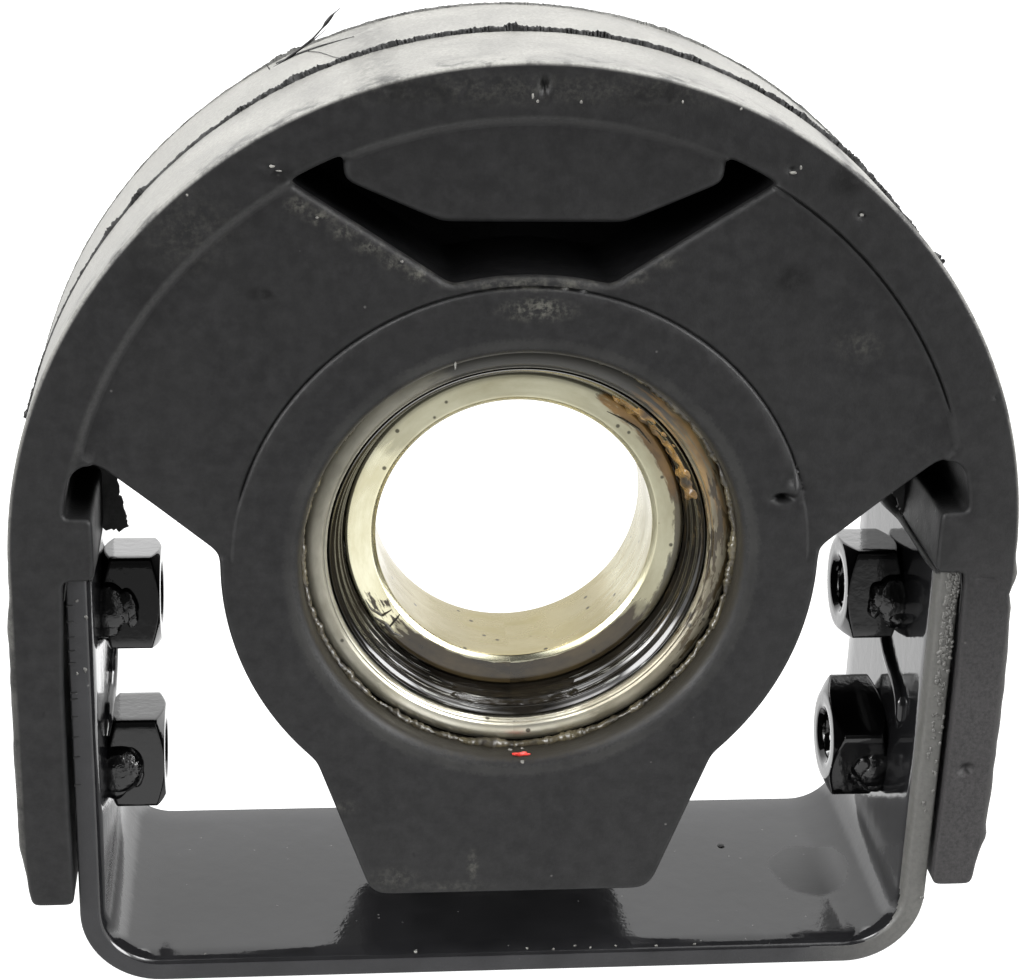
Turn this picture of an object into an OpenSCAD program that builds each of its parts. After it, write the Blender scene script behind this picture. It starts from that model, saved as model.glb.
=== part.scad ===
// Driveshaft centre support bearing: a ball bearing in a horseshoe rubber cushion,
// held down by a steel U strap with weld nuts.
// The bearing axis is Y, the origin is at the bearing's centre and +Z is up.

/* [Cushion] */
// Outer radius of the cushion's arch
cushion_r = 97; // [92:0.5:104]
// Depth of the cushion along the shaft
cushion_d = 54.5; // [50:0.5:64]
// Thickness of the rim and of the legs
rim_t = 10; // [8:0.5:12]
// Edge rounding of the rim and legs
rim_edge_r = 1.2; // [0.5:0.1:2]
// How far the legs reach below the bearing axis
leg_drop = 73.5; // [66:0.5:78]
// How far the leg's toe is cut back on its outer side
toe_cut_in = 1.6; // [0.5:0.1:3]
// Height of the cut on the leg's toe
toe_cut_h = 13; // [8:0.5:20]
// How far the shoulder stands in from the leg
shoulder_t = 6; // [5.5:0.1:7]
// Top of the shoulder above the bearing axis
shoulder_top = 10.2; // [8:0.1:12]
// Underside of the shoulder below the bearing axis
shoulder_drop = 2.5; // [1:0.1:5]
// How far the web lies behind the rim's face
web_recess = 1; // [0.5:0.1:2]

/* [Hub] */
// Outer radius of the hub
hub_r = 57.5; // [56:0.5:60]
// Radius of the raised boss around the bore
boss_r = 55; // [52:0.5:55.5]
// Inner radius of the lips that hold the bearing
lip_r = 42.2; // [41.8:0.1:43.5]
// Rounding of the lip's mouth
lip_mouth_r = 3; // [1:0.1:5]

/* [Arms] */
// Slope of the arm's lower edge
arm_slope = 39; // [35:0.5:42]
// Where the lower edge meets the hub, out from the axis
arm_root_x = 59; // [58:0.5:60.5]
// Where the lower edge meets the hub, above the axis
arm_root_z = 4; // [1:0.5:6]
// Fillet between the arm and the hub
arm_root_fillet = 3; // [1:0.5:6]
// Fillet between the arm and the rim
arm_tip_fillet = 4; // [2:0.5:5]

/* [Slot and bump stop] */
// Slope of the slot's floor
slot_slope = 33; // [30:0.5:36]
// Height above the axis where the slot floor's slope would cross the centre line
slot_floor_z = 46.1; // [44:0.1:48]
// Clear height between the hub and the bump stop
slot_h = 9.7; // [7:0.1:12]
// Half the width of the bump stop's flat underside
stop_half_w = 16.5; // [12:0.5:20]
// Half the full width of the bump stop
stop_full_half_w = 34.5; // [30:0.5:37]
// Rise of the bump stop's sloping sides
stop_rise = 7.8; // [6:0.1:9]
// Corner rounding at the bump stop's ends
stop_corner_r = 2; // [1:0.1:2.5]
// Thickness of the rubber skin that closes the slot at mid depth
slot_skin_t = 1.2; // [0.8:0.1:2]

/* [Tongue] */
// Lowest point of the tongue below the axis
tongue_drop = 72.6; // [68:0.1:76]
// Half the tongue's width at its foot
tongue_half_w = 28.2; // [24:0.1:31]
// Draft of the tongue's sides
tongue_draft = 20; // [14:0.5:22]
// Corner rounding at the tongue's foot
tongue_corner_r = 4; // [2:0.5:6]

/* [Strap] */
// Thickness of the strap
strap_t = 5; // [4:0.25:6]
// Depth of the strap along the shaft
strap_d = 60; // [54:0.5:66]
// How far the strap's front edge lies behind the cushion's face
strap_setback = 1.8; // [0:0.1:4]
// Underside of the strap below the bearing axis
strap_drop = 92.6; // [89:0.1:98]
// Outer radius of the strap's bends
strap_bend_r = 16; // [12:0.5:20]
// Gap between the strap and the rubber
strap_gap = 0.3; // [0.2:0.05:0.6]

/* [Weld nuts] */
// Side of a square weld nut
nut_side = 19; // [17:0.1:20]
// Height of a weld nut
nut_h = 11.5; // [10:0.1:13]
// Tapping diameter of the nut's thread
nut_hole_d = 10.2; // [8.5:0.1:12]
// Depth of the countersink at each end of the thread
nut_countersink = 1; // [0.5:0.1:1.5]
// Slope of the turned chamfer on the nut's free end
nut_chamfer_slope = 18; // [12:1:40]
// Upper nut's centre below the bearing axis
nut_upper_drop = 19.3; // [16:0.1:20.5]
// Distance between the upper and the lower nut
nut_pitch = 36; // [34:0.1:40]
// How far the right pair of nuts sits behind the left pair
right_setback = 0.8; // [0:0.1:3]
// Turn of the upper left nut about its thread
upper_left_turn = -10; // [-30:1:30]
// Turn of the lower left nut about its thread
lower_left_turn = -8; // [-30:1:30]
// Turn of the upper right nut about its thread
upper_right_turn = -8; // [-30:1:30]
// Turn of the lower right nut about its thread
lower_right_turn = 20; // [-30:1:30]
// Diameter of the bolt holes through the strap
strap_hole_d = 13.5; // [12.5:0.1:15]
// Diameter of the bolt holes through the rubber legs
leg_hole_d = 15; // [13:0.1:18]
// Radius of a weld bead
weld_r = 3.4; // [2:0.1:4]
// Length of a weld bead between its round ends
weld_l = 5; // [3:0.1:8]

/* [Bearing] */
// Shaft bore of the inner ring
bore_d = 55; // [54:0.1:56]
// Outside diameter of the outer ring
bearing_d = 90; // [88.5:0.5:92]
// Width of both rings
ring_w = 22; // [20:0.5:24]
// Edge chamfer of the rings
ring_chamfer = 1; // [0.5:0.1:1.5]
// Ball diameter
ball_d = 11; // [10:0.1:11.5]
// Number of balls
ball_count = 12; // [12]
// Radius of the inner ring's land
inner_land_r = 33.6; // [33:0.1:33.9]
// Radius of the outer ring's land
outer_land_r = 39.7; // [39.3:0.1:40]
// Running gap between a ball and a raceway
race_gap = 0.08; // [0.05:0.01:0.15]
// Raceway radius as a share of the ball diameter
race_conformity = 0.53; // [0.52:0.005:0.55]
// Gap between the outer ring and the rubber
seat_gap = 0.1; // [0.05:0.01:0.2]

/* [Cage] */
// Sheet thickness of the cage halves
cage_t = 0.9; // [0.6:0.1:1.1]
// Radial width of the cage
cage_w = 4.4; // [4.2:0.1:4.6]
// Gap between a ball and its pocket
pocket_gap = 0.15; // [0.1:0.01:0.25]
// Diameter of the cage rivets
rivet_d = 1.8; // [1.4:0.1:2]
// Diameter of the rivet heads
rivet_head_d = 3; // [2.6:0.1:3.4]
// Height of the rivet heads
rivet_head_h = 0.7; // [0.5:0.1:1]
// Gap around a rivet's shank
rivet_gap = 0.05; // [0.03:0.01:0.1]

/* [Seals] */
// Front face of a seal case, out from the bearing's centre
seal_reach = 20.2; // [18:0.1:22]
// Outside radius of a seal case
case_r = 41.2; // [41:0.1:41.6]
// Radius of the seal case's opening
case_open_r = 37.2; // [36.6:0.1:37.6]
// Sheet thickness of a seal case
case_t = 1.6; // [1.2:0.1:2]
// Rounding of the seal case's front edge
case_edge_r = 1.4; // [0.8:0.1:1.5]
// How deep a seal case sits in the outer ring
seal_seat = 2.5; // [1.5:0.1:3]
// Gap around a seal case in its seat
case_gap = 0.05; // [0.02:0.01:0.1]
// Gap between the seal lip and the inner ring
lip_gap = 0.2; // [0.15:0.01:0.3]
// Thickness of the seal lip
lip_t = 1.3; // [1:0.1:1.6]
// How far the seal lip reaches inside the inner ring's face
lip_overlap = 1.6; // [1.2:0.1:2.5]
// Radius of the dust ridges on the seal lip
lip_ridge_r = 0.5; // [0.3:0.05:0.6]

/* [Hidden] */
$fn = 96;
eps = 0.01;
over = 1;
far = 4 * cushion_r;

rim_in_r = cushion_r - rim_t;
shoulder_x = rim_in_r - shoulder_t;
strap_out_x = rim_in_r - strap_gap;
strap_in_x = strap_out_x - strap_t;
strap_y = (strap_d - cushion_d) / 2 + strap_setback;
strap_top = -shoulder_drop - strap_gap;
nut_zs = [-nut_upper_drop, -nut_upper_drop - nut_pitch];

pitch_r = (bore_d + bearing_d) / 4;
ball_r = ball_d / 2;
race_r = race_conformity * ball_d;
race_in_c = pitch_r - ball_r - race_gap + race_r;
race_out_c = pitch_r + ball_r + race_gap - race_r;
pocket_r = ball_r + pocket_gap;
ball_step = 360 / ball_count;
seat_r = case_r + case_gap;

half_d = cushion_d / 2;
stop_z = hub_r + slot_h;
lip_ridges = [0.4, 0.75];

fixed_nodes = [
    "rubber_cushion", "strap_bracket",
    "upper_left_nut", "lower_left_nut", "upper_right_nut", "lower_right_nut", "nut_welds",
    "outer_ring", "inner_ring",
    "front_seal_case", "front_seal_lip", "rear_seal_case", "rear_seal_lip",
    "cage_front_half", "cage_rear_half", "cage_rivets"
];

// Turns a drawing in X and Z into a solid centred on the mid plane.
module along_shaft(depth) {
    rotate([90, 0, 0]) linear_extrude(depth, center = true) children();
}

// Turns a drawing in radius and depth about the bearing axis.
module about_shaft() {
    rotate([90, 0, 0]) rotate_extrude() children();
}

// Draws its children on the right and again on the left.
module both_sides() {
    children();
    mirror([1, 0, 0]) children();
}

module rounded_box_2d(low, high, r) {
    union() {
        translate([low.x + r, low.y]) square([high.x - low.x - 2 * r, high.y - low.y]);
        translate([low.x, low.y + r]) square([high.x - low.x, high.y - low.y - 2 * r]);
        for (x = [low.x + r, high.x - r], y = [low.y + r, high.y - r]) translate([x, y]) circle(r);
    }
}

// Section of the rim and legs, radius by depth.
module rim_section() {
    rounded_box_2d([rim_in_r, -half_d], [cushion_r, half_d], rim_edge_r);
}

module rim_arch() {
    rotate([90, 0, 0]) rotate_extrude(angle = 180) rim_section();
}

module leg() {
    difference() {
        translate([0, 0, -leg_drop]) linear_extrude(leg_drop) rim_section();
        along_shaft(cushion_d + 2 * over)
            polygon([
                [cushion_r + over, -leg_drop + toe_cut_h * (1 + over / toe_cut_in)],
                [cushion_r - toe_cut_in, -leg_drop],
                [cushion_r - toe_cut_in, -leg_drop - over],
                [cushion_r + over, -leg_drop - over]
            ]);
    }
}

// The shoulder that rests on the end of the strap's leg.
module shoulder_2d() {
    translate([shoulder_x, -shoulder_drop])
        square([shoulder_t + rim_t / 2, shoulder_drop + shoulder_top]);
}

// A point at distance d beyond the lower edge of the right arm and at radius r from the axis.
arm_along = [cos(arm_slope), sin(arm_slope)];
arm_down = [sin(arm_slope), -cos(arm_slope)];
arm_offset = arm_down * [arm_root_x, arm_root_z];
function arm_point(d, r) =
    arm_down * (arm_offset + d) + arm_along * sqrt(r * r - (arm_offset + d) ^ 2);

// Fillet of radius r between the right arm's lower edge and a circle about the axis:
// outside the hub's circle, or inside the rim's circle.
module arm_fillet_2d(circle_r, r, side) {
    centre = arm_point(r, circle_r + side * r);
    difference() {
        polygon([
            arm_point(-eps, circle_r),
            centre - arm_down * (r + eps),
            centre,
            centre * (circle_r - side * eps) / (circle_r + side * r)
        ]);
        translate(centre) circle(r);
    }
}

// The space under both arms.
module under_arms_2d() {
    apex_z = arm_root_z - arm_root_x * tan(arm_slope);
    polygon([
        [-far, apex_z + far * tan(arm_slope)],
        [0, apex_z],
        [far, apex_z + far * tan(arm_slope)],
        [far, -far],
        [-far, -far]
    ]);
}

// The space above both arms, where the slot is.
module above_arms_2d() {
    polygon([
        [-far, slot_floor_z + far * tan(slot_slope)],
        [0, slot_floor_z],
        [far, slot_floor_z + far * tan(slot_slope)],
        [0, far + slot_floor_z + far * tan(slot_slope)]
    ]);
}

// The slot's whole outline, from the hub up to the rim.
module slot_2d() {
    intersection() {
        circle(rim_in_r + rim_t / 2);
        above_arms_2d();
    }
}

// The bump stop that hangs from the rim into the slot.
module bump_stop_2d() {
    end_x = stop_full_half_w;
    end_z = stop_z + stop_rise;
    intersection() {
        circle(rim_in_r + rim_t / 2);
        difference() {
            polygon([
                [-stop_half_w, stop_z],
                [stop_half_w, stop_z],
                [end_x, end_z],
                [end_x, cushion_r],
                [-end_x, cushion_r],
                [-end_x, end_z]
            ]);
            both_sides() stop_corner_2d(end_x, end_z);
        }
    }
}

// What the rounding takes off the bump stop's lower corner.
module stop_corner_2d(x, z) {
    slope = atan(stop_rise / (stop_full_half_w - stop_half_w));
    reach = stop_corner_r * tan((90 - slope) / 2);
    difference() {
        polygon([
            [x + eps, z - eps],
            [x + eps, z + reach],
            [x - stop_corner_r, z + reach],
            [x - reach * cos(slope), z - reach * sin(slope) - eps]
        ]);
        translate([x - stop_corner_r, z + reach]) circle(stop_corner_r);
    }
}

module tongue_2d() {
    r = tongue_corner_r;
    top_half_w = tongue_half_w + tongue_drop * tan(tongue_draft);
    corner_x = tongue_half_w - r * tan(45 - tongue_draft / 2);
    intersection() {
        polygon([
            [-tongue_half_w, -tongue_drop],
            [tongue_half_w, -tongue_drop],
            [top_half_w, 0],
            [-top_half_w, 0]
        ]);
        union() {
            translate([-far, -tongue_drop + r]) square([2 * far, far]);
            translate([-corner_x, -tongue_drop]) square([2 * corner_x, far]);
            both_sides() translate([corner_x, -tongue_drop + r]) circle(r);
        }
    }
}

// Tongue kept below the widest part of the hub.
module hub_tongue_2d() {
    circle(hub_r);
    difference() {
        tongue_2d();
        translate([-far, -hub_r * sin(arm_slope)]) square([2 * far, far]);
    }
}

module web_2d() {
    difference() {
        circle(rim_in_r + rim_edge_r);
        under_arms_2d();
        above_arms_2d();
    }
    both_sides() {
        arm_fillet_2d(hub_r, arm_root_fillet, 1);
        arm_fillet_2d(rim_in_r, arm_tip_fillet, -1);
    }
    circle(hub_r);
    bump_stop_2d();
}

// The bore with its groove for the bearing and the two round-edged lips.
module hub_bore() {
    groove_half = ring_w / 2 + seat_gap;
    about_shaft() {
        translate([0, -cushion_d]) square([lip_r, 2 * cushion_d]);
        translate([0, -groove_half]) square([bearing_d / 2 + seat_gap, 2 * groove_half]);
        for (side = [0, 1]) mirror([0, side])
            difference() {
                translate([lip_r - eps, half_d - lip_mouth_r])
                    square([lip_mouth_r + eps, lip_mouth_r + over]);
                translate([lip_r + lip_mouth_r, half_d - lip_mouth_r]) circle(lip_mouth_r);
            }
    }
}

// Depth of the bolts and nuts on one side: side -1 is left, 1 is right.
function bolt_y(side) = strap_y + (side > 0 ? right_setback : 0);

// Bolt holes through both legs or both sides of the strap.
module bolt_holes(d) {
    for (side = [-1, 1], z = nut_zs)
        translate([side * (strap_in_x - over), bolt_y(side), z])
            rotate([0, side * 90, 0]) cylinder(h = cushion_r, d = d);
}

module rubber_cushion() color("#2b2b2b")
    difference() {
        union() {
            rim_arch();
            both_sides() leg();
            both_sides() along_shaft(cushion_d) shoulder_2d();
            along_shaft(cushion_d - 2 * web_recess) web_2d();
            along_shaft(slot_skin_t) slot_2d();
            along_shaft(cushion_d) {
                circle(boss_r);
                intersection() {
                    hub_tongue_2d();
                    under_arms_2d();
                }
            }
        }
        hub_bore();
        bolt_holes(leg_hole_d);
    }

// A block with rounded bottom edges, as the outside or the inside of the strap.
module channel_block(half_w, bottom, top, r, depth) {
    union() {
        along_shaft(depth) translate([-half_w, bottom + r]) square([2 * half_w, top - bottom - r]);
        along_shaft(depth) translate([-half_w + r, bottom]) square([2 * half_w - 2 * r, top - bottom]);
        both_sides() along_shaft(depth) translate([half_w - r, bottom + r]) circle(r);
    }
}

module strap_bracket() color("#1a1a1c")
    difference() {
        translate([0, strap_y, 0])
            difference() {
                channel_block(strap_out_x, -strap_drop, strap_top, strap_bend_r, strap_d);
                channel_block(
                    strap_in_x, strap_t - strap_drop, strap_top + over,
                    strap_bend_r - strap_t, strap_d + 2 * over
                );
            }
        bolt_holes(strap_hole_d);
    }

// A weld nut with its foot at the origin and its thread along +Z.
module square_nut() {
    free_r = nut_side / 2;
    corner_r = nut_side * sqrt(2) / 2;
    chamfer_h = (corner_r - free_r) * tan(nut_chamfer_slope);
    difference() {
        intersection() {
            translate([-nut_side / 2, -nut_side / 2, 0]) cube([nut_side, nut_side, nut_h]);
            union() {
                cylinder(h = nut_h - chamfer_h, r = corner_r + over);
                translate([0, 0, nut_h - chamfer_h]) cylinder(h = chamfer_h, r1 = corner_r, r2 = free_r);
            }
        }
        translate([0, 0, -over]) cylinder(h = nut_h + 2 * over, d = nut_hole_d);
        for (end = [0, 1]) translate([0, 0, end * nut_h]) mirror([0, 0, end])
            translate([0, 0, -eps])
                cylinder(h = nut_countersink, d1 = nut_hole_d + 2 * nut_countersink, d2 = nut_hole_d);
    }
}

// Puts a nut's own frame on the strap's inner face: level 0 is the upper one.
module on_strap(side, level, turn) {
    translate([side * strap_in_x, bolt_y(side), nut_zs[level]])
        rotate([turn, 0, 0]) rotate([0, -side * 90, 0]) children();
}

module weld_nut(side, level, turn) color("#1c1c1e") on_strap(side, level, turn) square_nut();

module upper_left_nut() weld_nut(-1, 0, upper_left_turn);
module lower_left_nut() weld_nut(-1, 1, lower_left_turn);
module upper_right_nut() weld_nut(1, 0, upper_right_turn);
module lower_right_nut() weld_nut(1, 1, lower_right_turn);

// One bead along the foot of a nut's front or back face.
module weld_bead(face) {
    intersection() {
        translate([0, face * nut_side / 2, 0]) rotate([0, 90, 0]) {
            cylinder(h = weld_l, r = weld_r, center = true);
            for (end = [-1, 1]) translate([0, 0, end * weld_l / 2]) sphere(weld_r);
        }
        translate([-nut_side, (face - 0.5) * nut_side, 0]) cube([2 * nut_side, nut_side, nut_h]);
    }
}

module nut_welds() color("#202022") {
    turns = [[upper_left_turn, lower_left_turn], [upper_right_turn, lower_right_turn]];
    for (side = [0, 1], level = [0, 1], face = [-1, 1])
        on_strap(2 * side - 1, level, turns[side][level]) weld_bead(face);
}

// Half section of a ring with chamfered edges, radius by width.
module ring_section(r_in, r_out) {
    c = ring_chamfer;
    h = ring_w / 2;
    polygon([
        [r_in, -h + c], [r_in + c, -h], [r_out - c, -h], [r_out, -h + c],
        [r_out, h - c], [r_out - c, h], [r_in + c, h], [r_in, h - c]
    ]);
}

module outer_ring() color("#b9b39a")
    about_shaft()
        difference() {
            ring_section(outer_land_r, bearing_d / 2);
            translate([race_out_c, 0]) circle(race_r);
            for (side = [0, 1]) mirror([0, side])
                translate([0, ring_w / 2 - seal_seat]) square([seat_r, seal_seat + over]);
        }

module inner_ring() color("#d9d3ae")
    about_shaft()
        difference() {
            ring_section(bore_d / 2, inner_land_r);
            translate([race_in_c, 0]) circle(race_r);
        }

// Seal case: a stamped ring with a rounded front edge and a wall that plugs into the outer ring.
module seal_case() {
    foot = ring_w / 2 - seal_seat;
    w = case_r - case_open_r;
    h = seal_reach - foot;
    about_shaft()
        difference() {
            union() {
                translate([case_open_r, foot]) square([w - case_edge_r, h]);
                translate([case_open_r, foot]) square([w, h - case_edge_r]);
                translate([case_r - case_edge_r, seal_reach - case_edge_r]) circle(case_edge_r);
            }
            translate([0, foot - over]) square([case_r - case_t, h - case_t + over]);
        }
}

// Seal lip: a cone from the case's opening down to the inner ring's land, with dust ridges.
module seal_lip() {
    tip_r = inner_land_r + lip_gap;
    tip_y = ring_w / 2 - lip_overlap;
    root_y = seal_reach - case_t / 4;
    cone_low = [tip_r, tip_y + lip_t];
    cone_high = [case_open_r - lip_t, root_y];
    union() {
        about_shaft()
            polygon([
                [case_open_r, root_y],
                [case_open_r, seal_reach - case_t - lip_t],
                [tip_r + lip_t, tip_y],
                [tip_r, tip_y],
                cone_low,
                cone_high
            ]);
        for (share = lip_ridges)
            about_shaft() translate(cone_low + share * (cone_high - cone_low)) circle(lip_ridge_r);
    }
}

// Turns a piece of the front side, which is -Y, to the rear.
module rear_side() rotate([180, 0, 0]) children();

module front_seal_case() color("#8d8871") seal_case();
module rear_seal_case() color("#8d8871") rear_side() seal_case();
module front_seal_lip() color("#151515") seal_lip();
module rear_seal_lip() color("#151515") rear_side() seal_lip();

module at_ball(i) rotate([0, i * ball_step, 0]) translate([pitch_r, 0, 0]) children();

module ball(i) color("#d4d6d8") at_ball(i) sphere(ball_r);

// One cage half: flat links between round pockets, on the front side of the ball circle.
module cage_half() {
    difference() {
        intersection() {
            union() {
                about_shaft() square([far, cage_t]);
                for (i = [1 : ball_count]) at_ball(i) sphere(pocket_r + cage_t);
            }
            about_shaft() translate([pitch_r - cage_w / 2, 0]) square([cage_w, ball_d]);
        }
        for (i = [1 : ball_count]) at_ball(i) sphere(pocket_r);
        for (i = [1 : ball_count]) at_ball(i + 0.5)
            rotate([90, 0, 0]) cylinder(h = ball_d, d = rivet_d + 2 * rivet_gap, center = true);
    }
}

module cage_front_half() color("#a39f90") cage_half();
module cage_rear_half() color("#a39f90") rear_side() cage_half();

module rivet() {
    rotate([90, 0, 0]) {
        cylinder(h = 2 * cage_t, d = rivet_d, center = true);
        for (end = [0, 1]) mirror([0, 0, end])
            translate([0, 0, cage_t]) cylinder(h = rivet_head_h, d = rivet_head_d);
    }
}

module cage_rivets() color("#9a968a")
    for (i = [1 : ball_count]) at_ball(i + 0.5) rivet();

rubber_cushion();
strap_bracket();
upper_left_nut();
lower_left_nut();
upper_right_nut();
lower_right_nut();
nut_welds();
outer_ring();
inner_ring();
front_seal_case();
front_seal_lip();
rear_seal_case();
rear_seal_lip();
cage_front_half();
cage_rear_half();
cage_rivets();
for (i = [1 : ball_count]) ball(i);
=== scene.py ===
# Driveshaft centre bearing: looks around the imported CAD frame, in metres, with the shaft along Y.
import math
import bpy
import bmesh
import numpy as np
from mathutils import Matrix, Vector
from mathutils.geometry import delaunay_2d_cdt


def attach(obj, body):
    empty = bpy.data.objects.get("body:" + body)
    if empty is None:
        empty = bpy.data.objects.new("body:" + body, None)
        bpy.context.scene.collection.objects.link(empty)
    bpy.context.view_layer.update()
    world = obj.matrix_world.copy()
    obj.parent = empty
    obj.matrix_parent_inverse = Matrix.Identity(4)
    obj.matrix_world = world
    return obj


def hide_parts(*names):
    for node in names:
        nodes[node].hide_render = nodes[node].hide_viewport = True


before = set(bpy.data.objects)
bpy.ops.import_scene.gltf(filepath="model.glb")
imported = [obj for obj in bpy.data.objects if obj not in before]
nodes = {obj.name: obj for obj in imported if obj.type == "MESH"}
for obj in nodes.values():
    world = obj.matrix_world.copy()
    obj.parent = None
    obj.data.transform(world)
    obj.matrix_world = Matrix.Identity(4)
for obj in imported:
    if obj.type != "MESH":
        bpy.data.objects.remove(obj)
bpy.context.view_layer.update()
scene = bpy.context.scene
mm = 0.001
print("frame loaded,", len(nodes), "nodes")


# small tools
def ripple(t, seed, period, waves):
    # sum of sines of falling weight with random phases, about -1 to 1, repeating after one period
    draw = np.random.default_rng(seed)
    count = np.arange(1, waves + 1)
    phase = draw.uniform(0, 2 * np.pi, waves)
    weight = draw.uniform(0.5, 1, waves) / count ** 0.5
    angle = 2 * np.pi * np.multiply.outer(np.asarray(t) / period, count) + phase
    return (np.sin(angle) * weight).sum(-1) / np.sqrt((weight ** 2).sum()) / 1.6


def smoothStep(x):
    # 0 below 0, 1 above 1 and a smooth ramp between
    x = np.clip(x, 0, 1)
    return x * x * (3 - 2 * x)


def ramp(x, start, width):
    # smooth rise from 0 at the start to 1, or a fall where the width is below zero
    return smoothStep((x - start) / width)


def columns(*values):
    # points from their coordinates, or faces from their corners, each spread to the largest array
    return np.stack(np.broadcast_arrays(*values), -1)


def fullTurn(count):
    return np.linspace(0, 2 * np.pi, count, endpoint=False)


def arc(centre, radius, start, end, steps=60):
    # points on a circle from one angle to another, in degrees
    a = np.radians(np.linspace(start, end, steps))
    return columns(centre[0] + radius * np.cos(a), centre[1] + radius * np.sin(a))


def angleOf(point, centre=(0, 0)):
    return math.degrees(math.atan2(point[1] - centre[1], point[0] - centre[0]))


def shortArc(centre, start, end):
    # the shorter arc about a centre between two points of one circle
    a0, a1 = angleOf(start, centre), angleOf(end, centre)
    radius = math.hypot(start[0] - centre[0], start[1] - centre[1])
    return arc(centre, radius, a0, a0 + (a1 - a0 + 180) % 360 - 180, 14)


def wayAlong(points):
    return np.concatenate([[0], np.cumsum(np.hypot(*np.diff(points, axis=0).T))])


def evenLine(points, step):
    # points at even steps along a line, and their distances along it
    s = wayAlong(points)
    t = np.arange(0, s[-1], step)
    return columns(*[np.interp(t, s, points[:, k]) for k in (0, 1)]), t, s[-1]


def softLoop(points, sigma, maxStep, turnStep):
    # closed line through the points, corners rounded by a Gaussian of width sigma along the line,
    # then points set out closer where the line turns
    p = np.vstack([points, points[:1]])
    s = wayAlong(p)
    n = int(s[-1] / min(sigma / 3, maxStep / 3))
    even = np.linspace(0, s[-1], n, endpoint=False)
    line = np.interp(even, s, p[:, 0]) + 1j * np.interp(even, s, p[:, 1])
    k = np.fft.fftfreq(n, s[-1] / n)
    line = np.fft.ifft(np.fft.fft(line) * np.exp(-2 * (np.pi * k * sigma) ** 2))
    ahead = np.roll(line, -1) - line
    turn = np.abs(np.angle(ahead / np.roll(ahead, 1)))
    need = np.concatenate([[0], np.cumsum(np.abs(ahead) / maxStep + turn / math.radians(turnStep))])
    total = int(round(need[-1]))
    at = np.interp(np.linspace(0, need[-1], total, endpoint=False), need, np.arange(n + 1))
    ring = np.append(line, line[:1])
    low = np.floor(at).astype(int)
    line = ring[low] + (at - low) * (ring[np.minimum(low + 1, n)] - ring[low])
    return columns(line.real, line.imag)


def outward(loop):
    # unit normals on the right of a closed line
    t = np.roll(loop, -1, 0) - np.roll(loop, 1, 0)
    t /= np.hypot(t[:, 0], t[:, 1])[:, None]
    return columns(t[:, 1], -t[:, 0])


def swung(r, y, a):
    # points at a radius, a depth and an angle about the shaft
    return columns(r * np.cos(a), y, r * np.sin(a))


def gridFaces(rows, cols, closeRows=False, closeCols=True):
    # quads of a grid of points, row by row
    r = np.arange(rows if closeRows else rows - 1)
    c = np.arange(cols if closeCols else cols - 1)
    r, c = [x.ravel() for x in np.meshgrid(r, c, indexing="ij")]
    r2, c2 = (r + 1) % rows, (c + 1) % cols
    return columns(r * cols + c, r * cols + c2, r2 * cols + c2, r2 * cols + c)


def joinParts(parts):
    # points and face arrays of several parts, with the faces renumbered
    first = np.cumsum([0] + [len(verts) for verts, faceSets in parts])
    return (np.vstack([verts for verts, faceSets in parts]),
            [faces + n for (verts, faceSets), n in zip(parts, first) for faces in faceSets])


def makeMesh(name, verts, faceSets, merge=0):
    # mesh from points in millimetres and arrays of faces, near points merged, normals outward
    mesh = bpy.data.meshes.new(name)
    faces = [f for part in faceSets for f in part.tolist()]
    mesh.from_pydata((np.asarray(verts).reshape(-1, 3) * mm).tolist(), [], faces)
    bm = bmesh.new()
    bm.from_mesh(mesh)
    if merge:
        bmesh.ops.remove_doubles(bm, verts=bm.verts, dist=merge * mm)
        bmesh.ops.dissolve_degenerate(bm, edges=bm.edges, dist=1e-7)
    bmesh.ops.recalc_face_normals(bm, faces=bm.faces)
    bm.to_mesh(mesh)
    bm.free()
    return mesh


def addPiece(mesh, materials, slot, sharp, body="support", replaces=()):
    # object of a mesh, smooth but for edges sharper than the angle, riding on its body
    mesh.polygons.foreach_set("use_smooth", np.ones(len(mesh.polygons), bool))
    mesh.set_sharp_from_angle(angle=math.radians(sharp))
    for material in materials:
        mesh.materials.append(material)
    mesh.update()
    piece = bpy.data.objects.new(mesh.name, mesh)
    scene.collection.objects.link(piece)
    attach(piece, body)
    if replaces:
        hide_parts(*replaces)
    return piece


def addShape(name, verts, faceSets, merge, material, slot, sharp, **more):
    return addPiece(makeMesh(name, verts, faceSets, merge), [material], slot, sharp, **more)


def cutHoles(mesh, spans, depths, levels, radius):
    # round bolt holes along X cut through both sides of a mesh
    n = 72
    a, parts = fullTurn(n), []
    for side in (-1, 1):
        for level in levels:
            ring = columns(0, depths[side] + radius * np.cos(a), level + radius * np.sin(a))
            parts.append((np.vstack([ring + [side * x, 0, 0] for x in spans]),
                          [gridFaces(2, n), np.arange(2 * n).reshape(2, n)]))
    body = bpy.data.objects.new("holeBody", mesh)
    tool = bpy.data.objects.new("holeTool", makeMesh("holeCutter", *joinParts(parts)))
    for o in (body, tool):
        scene.collection.objects.link(o)
    cut = body.modifiers.new("cut", "BOOLEAN")
    cut.object, cut.operation, cut.solver = tool, "DIFFERENCE", "EXACT"
    bpy.context.view_layer.update()
    done = bpy.data.meshes.new_from_object(body.evaluated_get(bpy.context.evaluated_depsgraph_get()))
    done.name = mesh.name
    bpy.data.objects.remove(body)
    bpy.data.objects.remove(tool)
    return done


# shader tools: a new node joins the tree of the sockets given to it
def isSocket(value):
    return isinstance(value, bpy.types.NodeSocket)


def feed(node, inputs):
    # inputs as links or values, colours without their alpha
    for key, value in inputs.items():
        socket = node.inputs[key]
        if isSocket(value):
            node.id_data.links.new(value, socket)
        else:
            socket.default_value = (*value, 1) if socket.type == "RGBA" else value


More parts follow.
